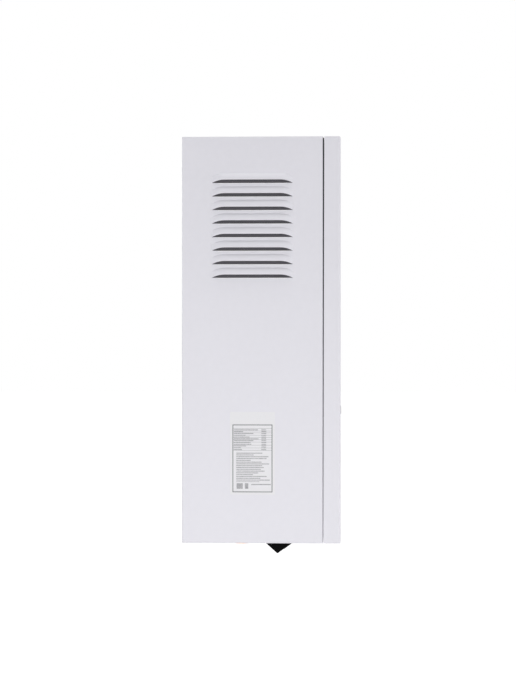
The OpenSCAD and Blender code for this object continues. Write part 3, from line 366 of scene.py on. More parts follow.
SINK_ALUMINIUM = Finish(
    "sink_aluminium", (0.68, 0.69, 0.7), 0.34, Grain.DRAWN, metal=1.0, stretch=(1.0, 1.0, 0.08), strength=0.3)
TERMINAL_PLASTIC = Finish("terminal_plastic", (0.62, 0.6, 0.53), 0.45, drift=0.07)
FASCIA_BLACK = Finish(
    "fascia_black", (0.008, 0.008, 0.009), 0.24, gloss=0.3, depth=0.00001, drift=0.2, strength=0.2)
KEY_GREY = Finish("key_grey", (0.32, 0.32, 0.33), 0.4, drift=0.08)
DIAL_WHITE = Finish("dial_white", (0.78, 0.78, 0.76), 0.5, Grain.FIBRE, drift=0.03, depth=0.00001)
DIAL_INK = Finish("dial_ink", (0.02, 0.02, 0.022), 0.45, Grain.FIBRE, drift=0.2, depth=0.00001)
DIAL_RED = Finish("dial_red", (0.5, 0.03, 0.02), 0.45, Grain.FIBRE, drift=0.1, depth=0.00001)
SMOKED = Finish("smoked_acrylic", (0.006, 0.006, 0.008), 0.08, drift=0.3, gloss=0.4, depth=0.000004, strength=0.1)
SEGMENT = Finish("lit_segment", (0.75, 0.9, 1.0), 0.4, drift=0.05, glow=0.9)
LAMP_GREEN = Finish("lamp_green", (0.1, 0.7, 0.2), 0.3, drift=0.1, glow=0.5)
RELAY_BLUE = Finish("relay_blue", (0.03, 0.1, 0.32), 0.38, drift=0.12)
CORE_YELLOW = Finish("winding_yellow", (0.62, 0.42, 0.06), 0.45, Grain.FIBRE, drift=0.12)
CORE_STEEL = Finish(
    "core_steel", (0.2, 0.19, 0.18), 0.45, Grain.DRAWN, metal=0.8, drift=0.2, stretch=(1.0, 1.0, 6.0))
PLUG_WHITE = Finish("plug_white", (0.7, 0.69, 0.64), 0.42)
CAN_BLACK = Finish("can_sleeve", (0.03, 0.03, 0.05), 0.35, drift=0.2, coat=0.2)
WIRE_BROWN = Finish("wire_brown", (0.16, 0.06, 0.025), 0.42, drift=0.12)
WIRE_BLACK = Finish("wire_black", (0.02, 0.02, 0.022), 0.42, drift=0.2)
WIRE_GREY = Finish("wire_grey", (0.22, 0.22, 0.23), 0.42, drift=0.1)
WIRE = Finish("wire", (0.025, 0.06, 0.2), 0.42, drift=0.12)


class Maker:
    """A piece in the making: a bmesh in millimetres, kept at the end as one object in metres."""

    INK_DEPTH = 0.05
    RIM_STEPS = 3
    SHARP = 32.0

    def __init__(self, name: str) -> None:
        """Starts an empty piece of that name."""
        self.name = name
        self.mesh = bmesh.new()

    def block(self, low: Point, high: Point, round_by: float = 0.0, steps: int = 2,
              along: str = "") -> Verts:
        """Adds a box between two corners, with rounded edges.

        Args:
            low: lowest corner.
            high: highest corner.
            round_by: radius of the rounding, 0 for none.
            steps: segments of the rounding.
            along: "X", "Y" or "Z" to round only the edges along that axis, empty for all edges.

        Returns:
            The vertices of the box.
        """
        size, middle = Vector(high) - Vector(low), (Vector(high) + Vector(low)) / 2
        place = Matrix.Translation(middle) @ Matrix.Diagonal((*size, 1.0))
        made = bmesh.ops.create_cube(self.mesh, size=1.0, matrix=place)["verts"]
        if round_by > 0.0:
            edges = {e for v in made for e in v.link_edges}
            if along:
                axis = Vector([float(along == a) for a in "XYZ"])
                edges = {e for e in edges if self._lean(e, axis) > 0.9}
            made = self._bevel(list(edges), round_by, steps) or made
        return made

    def _lean(self, edge: bmesh.types.BMEdge, axis: Vector) -> float:
        """How far an edge runs along an axis: 1 along it, 0 square to it."""
        return abs((edge.verts[0].co - edge.verts[1].co).normalized().dot(axis))

    def _bevel(self, edges: list[bmesh.types.BMEdge], by: float, steps: int) -> Verts:
        """Rounds the edges by a radius in a number of steps and returns the vertices of the rounded shape."""
        return bmesh.ops.bevel(self.mesh, geom=edges, offset=by, segments=steps, profile=0.5,
                               affect="EDGES", material=-1, clamp_overlap=True)["verts"]

    def bar(self, start: Point, end: Point, radius: float, steps: int, round_by: float = 0.0) -> None:
        """Adds a round bar between two points.

        Args:
            start: middle of the first end.
            end: middle of the other end.
            radius: its radius.
            steps: number of sides.
            round_by: radius of the rounding at both rims.
        """
        line = Vector(end) - Vector(start)
        place = (Matrix.Translation((Vector(end) + Vector(start)) / 2)
                 @ line.to_track_quat("Z", "Y").to_matrix().to_4x4())
        made = bmesh.ops.create_cone(self.mesh, cap_ends=True, cap_tris=False, segments=steps, radius1=radius,
                                     radius2=radius, depth=line.length, matrix=place)["verts"]
        if round_by > 0.0:
            edges = {e for v in made for e in v.link_edges}
            self._bevel([e for e in edges if self._lean(e, line.normalized()) < 0.1], round_by, self.RIM_STEPS)

    def turned(self, profile: list[Pair], base: Point, axis: Point, steps: int) -> None:
        """Spins a profile of radius and height about an axis into a closed turned piece.

        Args:
            profile: radius and height of each corner, from one end of the axis to the other.
            base: point on the axis at height 0.
            axis: direction of the axis.
            steps: segments of the full turn.
        """
        place = Matrix.Translation(base) @ Vector(axis).to_track_quat("Z", "Y").to_matrix().to_4x4()
        ring = [self.mesh.verts.new(place @ Vector((r, 0.0, h))) for r, h in profile]
        chain = [self.mesh.edges.new(pair) for pair in zip(ring, ring[1:])]
        bmesh.ops.spin(self.mesh, geom=ring + chain, cent=base, axis=place.to_3x3() @ Vector((0.0, 0.0, 1.0)),
                       angle=math.tau, steps=steps, use_merge=True, use_duplicate=False)
        bmesh.ops.remove_doubles(self.mesh, verts=self.mesh.verts, dist=0.0005)

    def prism(self, outline: list[Point], shift: Point) -> None:
        """Adds a flat outline and draws it out by a shift.

        Args:
            outline: corners of the outline in one plane.
            shift: the way that it is drawn out.
        """
        face = self.mesh.faces.new([self.mesh.verts.new(p) for p in outline])
        drawn = bmesh.ops.extrude_face_region(self.mesh, geom=[face], use_keep_orig=True)["geom"]
        moved = [v for v in drawn if isinstance(v, bmesh.types.BMVert)]
        bmesh.ops.translate(self.mesh, vec=Vector(shift), verts=moved)

    def move(self, place: Matrix) -> None:
        """Moves everything made so far by a matrix in millimetres."""
        bmesh.ops.transform(self.mesh, matrix=place, verts=self.mesh.verts)

    def number(self, digits: str, place: Point, size: float) -> None:
        """Adds digits, centred on a point and lying in the XY plane.

        Args:
            digits: the digits.
            place: their middle, on the surface that they are printed on.
            size: their height as set in type.
        """
        curve = bpy.data.curves.new("digits", "FONT")
        curve.body, curve.size = digits, size
        curve.align_x, curve.align_y = "CENTER", "CENTER"
        curve.extrude = self.INK_DEPTH / 2
        curve.resolution_u = 3
        lettered = bpy.data.objects.new("digits", curve)
        mesh = bpy.data.meshes.new_from_object(lettered)
        mesh.transform(Matrix.Translation(place))
        self.mesh.from_mesh(mesh)
        bpy.data.objects.remove(lettered)
        bpy.data.curves.remove(curve)
        bpy.data.meshes.remove(mesh)

    def keep(self, finish: Finish, body: str = "root", *nodes: str, slot: str = "",
             angle: float = SHARP) -> Thing:
        """Ends the mesh and makes it a piece of the boiler.

        Args:
            finish: the finish of the piece.
            body: the CAD body that it rides on.
            nodes: CAD nodes that it replaces.
            slot: a material slot name, empty for none; not used.
            angle: edges sharper than this many degrees stay sharp.

        Returns:
            The new object.
        """
        bmesh.ops.recalc_face_normals(self.mesh, faces=self.mesh.faces)
        bmesh.ops.scale(self.mesh, vec=Vector((MM, MM, MM)), verts=self.mesh.verts)
        piece = placed(self.name, self.mesh)
        piece.data.shade_smooth()
        piece.data.set_sharp_from_angle(angle=math.radians(angle))
        piece.data.materials.append(finish.material())
        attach(piece, body)
        if nodes:
            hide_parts(*nodes)
        LOG.info("%s made in %s", self.name, finish.name)
        return piece


def placed(name: str, data: bpy.types.ID | bmesh.types.BMesh) -> Thing:
    """Makes an object and puts it in the scene.

    Args:
        name: name of the object.
        data: a lamp, a camera, or a bmesh, which is freed.

    Returns:
        The object.
    """
    if isinstance(data, bmesh.types.BMesh):
        mesh, data = data, bpy.data.meshes.new(name)
        mesh.to_mesh(data)
        mesh.free()
    made = bpy.data.objects.new(name, data)
    bpy.context.scene.collection.objects.link(made)
    return made


class Carried:
    """The finish of every CAD node and its smoothing, also of the few that a piece stands for."""

    NODES: tuple[tuple[Finish, str], ...] = (
        (WHITE_COAT, "back_panel side_panel_left side_panel_right top_panel bottom_panel front_cover"),
        (ZINC_SHEET, "wall_bracket tank_bands vessel_ring electronics_tray display_bracket"),
        (ZINC_SCREW, "cover_screws flange_bolts"), (FOAM_BLACK, "cover_seal"), (FOAM_GREY, "tank_jacket"),
        (STICKER, "rating_plate"), (STEEL, "tank element_flange pump_rotor"), (ROD_STEEL, "heating_rods"),
        (RUBBER, "flange_gasket vessel_membrane cable_glands"), (TERMINAL_METAL, "element_terminals"),
        (BRASS, "air_vent union_nuts safety_valve drain_cock"), (FLOAT_PLASTIC, "vent_float flow_rotor"),
        (GREY_ENAMEL, "vessel_rear_shell vessel_front_shell"), (PUMP_IRON, "pump_housing"),
        (COPPER, "vessel_pipe return_pipe pump_pipe supply_pipes"), (PUMP_RED, "pump_motor"),
        (BLACK_PLASTIC_AND_SHADE, "pump_knob flow_sensor switch_housing switch_frame main_switch pressure_gauge"),
        (RED_PLASTIC, "safety_cap drain_lever reset_button"), (NEEDLE_BLACK, "gauge_needle"),
        (GAUGE_GLASS, "gauge_lens"), (BOARD_GREEN, "main_board"), (SINK_ALUMINIUM, "heat_sink"),
        (PART_BLACK, "board_parts cutout display_module"), (TERMINAL_PLASTIC, "terminal_block"),
        (FASCIA_BLACK, "fascia"), (KEY_GREY, "key_minus key_plus key_menu"), (WIRE, "wiring"),
    )
    PRESSED = ("side_panel_left", "side_panel_right", "bottom_panel", "back_panel")
    MERGE = 0.000001
    SPLIT = 30.0
    FACE_WEIGHT = 100

    def dress(self, nodes: Nodes) -> None:
        """Gives every CAD node its finish and its smooth shading.

        Args:
            nodes: the CAD nodes by name.
        """
        finishes = {name: finish for finish, names in self.NODES for name in names.split()}
        for name, node in nodes.items():
            node.data.materials.clear()
            node.data.materials.append(finishes[name].material())
            self._smooth(node)
            LOG.info("%s dressed in %s", name, finishes[name].name)

    def _smooth(self, node: Thing) -> None:
        """Merges the loose triangles of a node and shades them smooth up to a sharp edge.

        Args:
            node: the CAD node, whose own mesh stays as it is.
        """
        node.data.shade_smooth()
        node.modifiers.new("weld", "WELD").merge_threshold = self.MERGE
        split = node.modifiers.new("split", "EDGE_SPLIT")
        split.split_angle = math.radians(self.SPLIT)
        split.use_edge_sharp = False
        if node.name in self.PRESSED:
            evened = node.modifiers.new("evened", "WEIGHTED_NORMAL")
            evened.mode, evened.weight = "FACE_AREA", self.FACE_WEIGHT


@dataclass(frozen=True)
class Print:
    """The print of the sticker: a ruled frame, empty rows and plain bars.

    Everything is in millimetres from the rear of the casing and from the top of the sticker. A box is its rear,
    front, upper and lower edge.
    """

    frame: Row = (73.6, 131.5, 18.3, 116.5)
    rim: float = 1.1
    top_z: float = -354.5
    rows: Row = (23.9, 27.6, 30.3, 33.8, 37.0, 40.2, 43.7, 48.2, 52.2, 55.7)
    line: float = 0.55
    line_ink: float = 0.55
    bar_pitch: float = 2.6
    bar_band: Pair = (0.3, 0.24)
    bars_down: Pair = (59.0, 101.5)
    bars_rear: float = 79.0
    bar_ends: Pair = (100.0, 129.0)
    cell_rear: float = 75.6
    cell_cut: float = 15.0
    last_cell: Pair = (115.5, 122.5)
    blocks: tuple[Row, ...] = (
        (101.0, 129.0, 104.5, 106.0), (79.5, 88.5, 103.5, 111.5), (91.5, 96.5, 103.5, 111.5))
    ink: Colour = (0.09, 0.09, 0.1)
    pale: Colour = (0.12, 0.12, 0.135)
    paper: tuple[Colour, Colour] = ((0.79, 0.785, 0.815), (0.83, 0.825, 0.85))
    fibres: Pair = (1500.0, 2.0)
    broken: Row = (0.3, 0.62, 0.25, 0.85)
    cloud: Pair = (60.0, 3.0)
    rough: Pair = (0.34, 0.5)

    def material(self) -> Material:
        """Makes the printed film.

        Returns:
            The material of the sticker.
        """
        sheet = NodeSheet("sticker_print")
        where = sheet.place()
        _, y, z = sheet.axes(where)
        across = sheet.times(y, -1.0 / MM)
        down = sheet.maths("MULTIPLY_ADD", z, -1.0 / MM, self.top_z)
        rear, front, high, low = self.frame
        inside = self._box(sheet, across, down, self.frame)
        core = self._box(sheet, across, down,
                         (rear + self.rim, front - self.rim, high + self.rim, low - self.rim))
        fine = sheet.noise(where, *self.fibres)
        rows = sheet.times(sheet.most(*(sheet.near(down, row, self.line / 2) for row in self.rows)), inside)
        shown = sheet.mix_colour(sheet.spread(fine, *sheet.NOISE), *self.paper)
        for share, ink in ((sheet.times(rows, self.line_ink), self.pale),
                           (self._bars(sheet, across, down, fine), self.pale),
                           (sheet.maths("SUBTRACT", inside, core), self.ink)):
            shown = sheet.mix_colour(share, shown, ink)
        rough = sheet.spread(sheet.noise(where, *self.cloud), *sheet.NOISE, *self.rough)
        return sheet.shader(STICKER, shown, rough, fine)

    def _between(self, sheet: NodeSheet, value: Socket, low: float, high: float) -> Socket:
        """One where a value lies between two numbers."""
        return sheet.near(value, (low + high) / 2, (high - low) / 2)

    def _box(self, sheet: NodeSheet, across: Socket, down: Socket, box: Row) -> Socket:
        """One inside a box."""
        return sheet.times(self._between(sheet, across, *box[:2]), self._between(sheet, down, *box[2:]))

    def _bars(self, sheet: NodeSheet, across: Socket, down: Socket, fine: Socket) -> Socket:
        """Adds plain grey bars of uneven length in the table and under it.

        Args:
            sheet: the node sheet that is being filled.
            across: distance from the rear of the casing.
            down: distance from the top of the sticker.
            fine: fine noise that breaks the ink.

        Returns:
            How much ink lies at a point.
        """
        step = sheet.maths("DIVIDE", sheet.maths("SUBTRACT", down, self.bars_down[0]), self.bar_pitch)
        band = sheet.near(sheet.maths("FRACT", step), *self.bar_band)
        odd = sheet.add("ShaderNodeTexWhiteNoise", {"W": sheet.maths("FLOOR", step)}, noise_dimensions="1D")
        end = sheet.spread(odd.outputs["Value"], 0.0, 1.0, *self.bar_ends)
        bars = sheet.times(self._between(sheet, down, *self.bars_down),
                           sheet.maths("GREATER_THAN", across, self.bars_rear),
                           sheet.maths("LESS_THAN", across, end))
        first = sheet.times(sheet.maths("GREATER_THAN", across, self.cell_rear),
                            sheet.maths("LESS_THAN", across, sheet.maths("SUBTRACT", end, self.cell_cut)))
        cells = sheet.times(sheet.most(first, self._between(sheet, across, *self.last_cell)),
                            self._between(sheet, down, self.rows[0], self.rows[-1]))
        blocks = (self._box(sheet, across, down, box) for box in self.blocks)
        return sheet.times(sheet.most(sheet.times(sheet.most(bars, cells), band), *blocks),
                           sheet.spread(fine, *self.broken))


@dataclass
class RatingPlate:
    """The sticker on the left side, in millimetres."""

    rear: float = 70.0
    width: float = 65.0
    top: float = -354.5
    height: float = 120.0
    side: float = -190.0
    film: float = 0.2
    corner: float = 1.5

    def build(self) -> None:
        """Makes the film with rounded corners and its print."""
        piece = Maker("rating_sticker")
        piece.block((self.side - self.film, -self.rear - self.width, self.top - self.height),
                    (self.side, -self.rear, self.top), self.corner, 4, "X")
        piece.keep(STICKER, "root", "rating_plate", slot="sticker").data.materials[0] = Print().material()


@dataclass(frozen=True)
class SlopeFace:
    """A place on the front slope of the black housing under the casing, in millimetres and degrees."""

    x: float
    along: float
    apex_y: float = -135.5
    apex_z: float = -573.3
    angle: float = 144.034

    def matrix(self) -> Matrix:
        """Frame with X to the right, Y up the slope and Z out of it."""
        return (Matrix.Translation((self.x, self.apex_y, self.apex_z))
                @ Matrix.Rotation(math.radians(self.angle), 4, "X") @ Matrix.Translation((0.0, self.along, 0.0)))


@dataclass
class PressureGauge:
    """Face of the pressure gauge: white dial, scale from 0 to 4 and a red mark, in millimetres.

    A mark is its length and width, the ink is how far it goes into the film and stands out of it.
    """

    face: SlopeFace = SlopeFace(12.0, 23.0)
    radius: float = 17.3
    hole: float = 1.3
    floor: float = -4.5
    film: float = 0.2
    sweep: float = 120.0
    bars: int = 4
    parts: int = 5
    digit: float = 4.2
    digit_in: float = 6.2
    edge: float = 0.8
    bar_mark: Pair = (2.6, 0.5)
    part_mark: Pair = (1.4, 0.28)
    limit_at: float = 45.0
    limit_edge: float = 1.0
    limit_mark: Pair = (3.0, 0.9)
    ink: Pair = (0.01, 0.05)
    steps: int = 72

    def build(self) -> None:
        """Makes the dial, its marks and its red limit."""
        dial, marks, limit = Maker("gauge_dial"), Maker("gauge_marks"), Maker("gauge_limit")
        top, count = self.floor + self.film, self.bars * self.parts
        dial.turned([(self.hole, self.floor), (self.radius, self.floor), (self.radius, top), (self.hole, top),
                     (self.hole, self.floor)], (0.0, 0.0, 0.0), (0.0, 0.0, 1.0), self.steps)
        for i in range(count + 1):
            angle = 2 * self.sweep * i / count - self.sweep
            self._tick(marks, angle, self.edge, *(self.part_mark if i % self.parts else self.bar_mark))
            if i % self.parts == 0:
                reach, turn = self.radius - self.digit_in, math.radians(angle)
                marks.number(str(i // self.parts), (math.sin(turn) * reach, math.cos(turn) * reach, top),
                             self.digit)
        self._tick(limit, self.limit_at, self.limit_edge, *self.limit_mark)
        for piece, finish in ((dial, DIAL_WHITE), (marks, DIAL_INK), (limit, DIAL_RED)):
            piece.move(self.face.matrix())
            piece.keep(finish)

    def _tick(self, piece: Maker, angle: float, edge: float, long: float, wide: float) -> None:
        """Adds one radial mark.

        Args:
            piece: the piece that takes it.
            angle: degrees from the top of the dial.
            edge: distance from the rim of the dial.
            long: its length.
            wide: its width.
        """
        outer, top = self.radius - edge, self.floor + self.film
        made = piece.block((-wide / 2, outer - long, top - self.ink[0]), (wide / 2, outer, top + self.ink[1]))
        bmesh.ops.rotate(piece.mesh, cent=(0.0, 0.0, 0.0), verts=made,
                         matrix=Matrix.Rotation(math.radians(-angle), 3, "Z"))


@dataclass(frozen=True)
class Marked:
    """A moulded finish with printed marks, for the keys and the rocker."""

    finish: Finish
    tones: Pair
    cloud: float
    smooth: float
    ink: Colour

    DETAIL = 4.0
    UNEVEN = 0.12
    FINE = (1200.0, 2.0)

    def ends(self, sheet: NodeSheet, where: Socket, shown: Socket) -> Material:
        """Ends the sheet of the marked piece.

        Args:
            sheet: the node sheet that is being filled.
            where: the coordinates of its pattern.
            shown: one where a mark is.

        Returns:
            The material.
        """
        cloud = sheet.noise(where, self.cloud, self.DETAIL)
        base = sheet.mix_colour(cloud, *(tuple(c * tone for c in self.finish.colour) for tone in self.tones))
        rough = sheet.spread(cloud, *sheet.NOISE, self.smooth, self.smooth + self.UNEVEN)
        colour = sheet.mix_colour(shown, base, self.ink)
        return sheet.shader(self.finish, colour, rough, sheet.noise(where, *self.FINE))


class Sign(Enum):
    """The sign printed on a key, as bars of centre and half size in millimetres."""

    MINUS = ((0.0, 0.0, 2.2, 0.36),)
    PLUS = ((0.0, 0.0, 2.2, 0.36), (0.0, 0.0, 0.36, 2.2))
    MENU = ((0.0, 1.5, 2.0, 0.28), (0.0, 0.0, 2.0, 0.28), (0.0, -1.5, 2.0, 0.28))


@dataclass
class Controls:
    """Display and keys in the front cover, in millimetres.

    The glass stands out of the fascia and goes into it. The lamps lie between two distances in front of the
    fascia, and the digits start at a third, inside the glass.
    """

    fascia_y: float = -231.0
    key_z: float = -358.0
    key_pitch: float = 36.0
    window: Row = (-46.0, -347.0, 46.0, -317.0)
    digit_h: float = 15.0
    digit_w: float = 8.0
    digit_gap: float = 4.5
    stroke: float = 1.5
    segment_gap: float = 0.25
    segment_film: float = 0.12
    digits: str = "60"
    lean: float = 0.09
    lamps: int = 3
    lamp_in: float = 8.0
    lamp_pitch: float = 7.0
    lamp_r: float = 1.1
    glass: Pair = (0.12, 0.05)
    glass_corner: float = 3.0
    out: Pair = (0.2, 0.05)
    lit: float = 0.1
    ring: Pair = (0.7, 1.3)
    ring_in: float = 1.5
    key: Marked = Marked(KEY_GREY, (0.92, 1.0), 300.0, 0.34, (0.85, 0.86, 0.88))

    SEGMENTS = {"0": "abcdef", "6": "afgedc"}
    ENDS = {"a": (0, 1, 1, 1), "g": (0, 0, 1, 0), "d": (0, -1, 1, -1), "f": (0, 0, 0, 1), "e": (0, -1, 0, 0),
            "b": (1, 0, 1, 1), "c": (1, -1, 1, 0)}
    KEYS = (("key_minus", Sign.MINUS), ("key_plus", Sign.PLUS), ("key_menu", Sign.MENU))

    def build(self, nodes: Nodes) -> None:
        """Makes the window, the lit digits and the signs on the keys.

        Args:
            nodes: the CAD nodes by name.
        """
        x0, z0, x1, z1 = self.window
        glass, lamps = Maker("display_window"), Maker("state_lamps")
        glass.block((x0, self.fascia_y - self.glass[0], z0), (x1, self.fascia_y + self.glass[1], z1),
                    self.glass_corner, 5, "Y")
        glass.keep(SMOKED, "front_cover_body")
        self._number()
        for i in range(self.lamps):
            x, z = x1 - self.lamp_in, z1 - self.lamp_in - self.lamp_pitch * i
            lamps.bar(*((x, self.fascia_y - out, z) for out in self.out), self.lamp_r, 24)
        lamps.keep(LAMP_GREEN, "front_cover_body")
        for i, (name, sign) in enumerate(self.KEYS):
            nodes[name].data.materials[0] = self._signed(name, sign, (i - 1) * self.key_pitch)

    def _number(self) -> None:
        """Makes the seven-segment digits and the ring of the degree sign."""
        piece = Maker("display_digits")
        middle = (self.window[1] + self.window[3]) / 2
        pitch = self.digit_w + self.digit_gap
        start = (self.digit_gap - len(self.digits) * pitch) / 2
        for i, digit in enumerate(self.digits):
            for segment in self.SEGMENTS[digit]:
                self._segment(piece, self.ENDS[segment], start + i * pitch, middle)
        (inner, outer), film = self.ring, self.segment_film
        piece.turned([(inner, 0.0), (outer, 0.0), (outer, film), (inner, film), (inner, 0.0)],
                     (start + len(self.digits) * pitch - self.ring_in, self.fascia_y - self.lit,
                      middle + self.digit_h / 2 - outer), (0.0, -1.0, 0.0), 24)
        piece.keep(SEGMENT, "front_cover_body")

    def _segment(self, piece: Maker, ends: tuple[int, ...], x: float, z: float) -> None:
        """Adds one segment as a bar with pointed ends.

        Args:
            piece: the piece that takes it.
            ends: both ends, in widths and half heights of the digit.
            x: left side of the digit.
            z: middle height of the digit.
        """
        half, t = self.digit_h / 2, self.stroke / 2
        a, b = (Vector((u * self.digit_w, 0.0, v * half)) for u, v in (ends[:2], ends[2:]))
        run = (b - a).normalized()
        side = Vector((run.z, 0.0, -run.x)) * t
        a, b = a + run * self.segment_gap, b - run * self.segment_gap
        outline = [a, a + run * t + side, b - run * t + side, b, b - run * t - side, a + run * t - side]
        piece.prism([Vector((x + q.x + q.z * self.lean, self.fascia_y - self.lit, z + q.z)) for q in outline],
                    (0.0, -self.segment_film, 0.0))

    def _signed(self, name: str, sign: Sign, x: float) -> Material:
        """Makes the finish of a key with its printed sign.

        Args:
            name: name of the key.
            sign: the sign.
            x: middle of the key.

        Returns:
            The material of the key.
        """
        sheet = NodeSheet(f"finish_{name}")
        where = sheet.place()
        right, _, up = sheet.axes(where)
        shown = sheet.most(*(sheet.times(sheet.near(right, (x + cx) * MM, half_x * MM),
                                         sheet.near(up, (self.key_z + cz) * MM, half_z * MM))
                             for cx, cz, half_x, half_z in sign.value))
        return self.key.ends(sheet, where, shown)


@dataclass
class Rocker:
    """Marks on the main switch, in millimetres: a line on one end and a ring on the other.

    The line is half its width and half its length, the ring its radius and half its width.
    """

    face: SlopeFace = SlopeFace(-56.0, 17.9)
    offset: float = 3.0
    line: Pair = (0.32, 1.15)
    ring: Pair = (1.05, 0.28)
    plastic: Marked = Marked(BLACK_PLASTIC_AND_SHADE, (1.0, 1.6), 260.0, 0.3, (0.8, 0.8, 0.8))

    def dress(self, node: Thing) -> None:
        """Gives the rocker its finish with both marks.

        Args:
            node: the CAD node of the rocker.
        """
        sheet = NodeSheet("finish_main_switch")
        local = sheet.place(shift=tuple(self.face.matrix().translation * MM),
                            turn=(math.radians(self.face.angle), 0.0, 0.0))
        right, up, _ = sheet.axes(local)
        line = sheet.times(sheet.near(right, 0.0, self.line[0] * MM),
                           sheet.near(up, self.offset * MM, self.line[1] * MM))
        low = sheet.maths("ADD", up, self.offset * MM)
        reach = sheet.maths("SQRT", sheet.maths("ADD", sheet.times(right, right), sheet.times(low, low)))
        ring = sheet.near(reach, self.ring[0] * MM, self.ring[1] * MM)
        node.data.materials[0] = self.plastic.ends(sheet, local, sheet.most(line, ring))


@dataclass
class Board:
    """Everything that stands on the main board, in millimetres from the board's lower left corner.

    A part is its left side, lower side, width, height and depth. The can is the middle of the first one and its
    radius.
    """

    left: float = -47.0
    low: float = -215.0
    front: float = -159.1
    relays: Row = (16.0, 150.0, 30.0, 30.0, 24.0)
    relay_pitch: float = 40.0
    core: Row = (16.0, 90.0, 42.0, 36.0, 30.0)
    limb: float = 7.0
    plugs: Row = (14.0, 14.0, 26.0, 10.0, 9.0)
    plug_pitch: float = 32.0
    plug_wall: float = 1.2
    chip: Row = (76.0, 52.0, 18.0, 18.0, 2.4)
    legs: int = 10
    leg: Pair = (0.5, 1.7)
    fuse: Row = (22.0, 50.0, 34.0, 12.0, 11.0)
    fuse_out: float = 7.4
    can: Point = (80.0, 105.0, 7.0)
    can_pitch: float = 18.0
    can_top: float = 19.4

    def build(self) -> None:
        """Makes relays, transformer, plugs, chip, fuse and capacitors."""
        self._relays()
        self._transformer()
        self._plugs()
        self._chip()
        self._fuse()
        self._cans()

    def _boxes(self, name: str, finish: Finish, boxes: list[Row], slot: str = "",
               bars: tuple[Row, ...] = ()) -> None:
        """Makes a piece of boxes and of bars that lie across.

        Args:
            name: name of the piece.
            finish: its finish.
            boxes: left side, lower side, width, height, rear, front and radius of the edges of each box.
            slot: a material slot name, empty for none, passed on to keep, which does not use it.
            bars: left end, right end, middle height, distance from the board, radius and that of the rims.
        """
        piece = Maker(name)
        for x, z, w, h, near, far, round_by in boxes:
            piece.block((self.left + x, self.front - far, self.low + z),
                        (self.left + x + w, self.front - near, self.low + z + h), round_by)
        for x0, x1, z, out, radius, round_by in bars:
            start, end = ((self.left + x, self.front - out, self.low + z) for x in (x0, x1))
            piece.bar(start, end, radius, 32, round_by)
        piece.keep(finish, "root", "board_parts", slot=slot)

    def _relays(self) -> None:
        """Makes three relays with a stepped lid."""
        x0, z, w, h, d = self.relays
        boxes = []
        for x in (x0 + self.relay_pitch * i for i in range(3)):
            boxes += [(x, z, w, h, 0.0, d - 2.0, 0.8), (x + 0.6, z + 0.6, w - 1.2, h - 1.2, d - 2.4, d, 0.8)]
        self._boxes("relays", RELAY_BLUE, boxes, "part_black")

    def _transformer(self) -> None:
        """Makes the transformer as a stacked core with a taped winding between two flanges."""
        x, z, w, h, d = self.core
        t = self.limb
        span = (x + t - 0.1, w - 2 * t + 0.2)
        self._boxes("transformer_core", CORE_STEEL, [
            (x, z, t, h, 4.0, d - 4.0, 0.4), (x + w - t, z, t, h, 4.0, d - 4.0, 0.4),
            (span[0], z, span[1], t, 4.0, d - 4.0, 0.0), (span[0], z + h - t, span[1], t, 4.0, d - 4.0, 0.0)])
        self._boxes("transformer_winding", CORE_YELLOW, [
            (x + t + 0.2, z + t + 0.2, w - 2 * t - 0.4, h - 2 * t - 0.4, 2.0, d - 1.2, 2.5)])
        self._boxes("transformer_bobbin", PART_BLACK, [(x + 2.0, z + 2.0, w - 4.0, h - 4.0, 0.0, 2.4, 0.6)] + [
            (x + t + 0.1, low, w - 2 * t - 0.2, 1.6, 2.2, d, 0.3) for low in (z + t + 0.1, z + h - t - 1.7)])

    def _plugs(self) -> None:
        """Makes the plug sockets as open boxes with three chambers."""
        x0, z, w, h, d = self.plugs
        t = self.plug_wall
        boxes = []
        for x in (x0 + self.plug_pitch * i for i in range(4)):
            boxes += [(x, z, w, h, 0.0, 2.0, 0.0), (x, z, w, t, 1.9, d, 0.2), (x, z + h - t, w, t, 1.9, d, 0.2)]
            boxes += [(x + j * (w - t) / 3, z + t - 0.1, t, h - 2 * t + 0.2, 1.9, d, 0.2) for j in range(4)]
        self._boxes("board_plugs", PLUG_WHITE, boxes, "terminal_plastic")

    def _chip(self) -> None:
        """Makes the chip with its rows of legs."""
        x, z, w, h, d = self.chip
        wide, long = self.leg
        inset = long - 0.1
        self._boxes("controller_chip", PART_BLACK, [
            (x + inset, z + inset, w - 2 * inset, h - 2 * inset, 0.3, d, 0.3)])
        legs = []
        for step in (2.6 + i * (w - 5.6) / (self.legs - 1) for i in range(self.legs)):
            for at in (0.0, w - long):
                legs += [(x + step, z + at, wide, long, 0.0, 0.9, 0.0),
                         (x + at, z + step, long, wide, 0.0, 0.9, 0.0)]
        self._boxes("chip_legs", TERMINAL_METAL, legs)

    def _fuse(self) -> None:
        """Makes the fuse in its holder: foot, two clips and a glass tube with metal caps."""
        x, z, w, h, _ = self.fuse
        self._boxes("fuse_holder", PART_BLACK, [(x, z, w, h, 0.0, 3.5, 0.8)])
        clips = [(x + at, z + up, 4.0, 0.8, 3.4, 9.0, 0.0) for at in (3.0, w - 7.0) for up in (2.6, h - 3.4)]
        caps = tuple((x + at, x + at + 6.0, z + h / 2, self.fuse_out, 3.0, 0.4) for at in (2.0, w - 8.0))
        self._boxes("fuse_caps", TERMINAL_METAL, clips, bars=caps)
        glass = (x + 7.8, x + w - 7.8, z + h / 2, self.fuse_out, 2.6, 0.0)
        self._boxes("fuse_glass", GAUGE_GLASS, [], bars=(glass,))

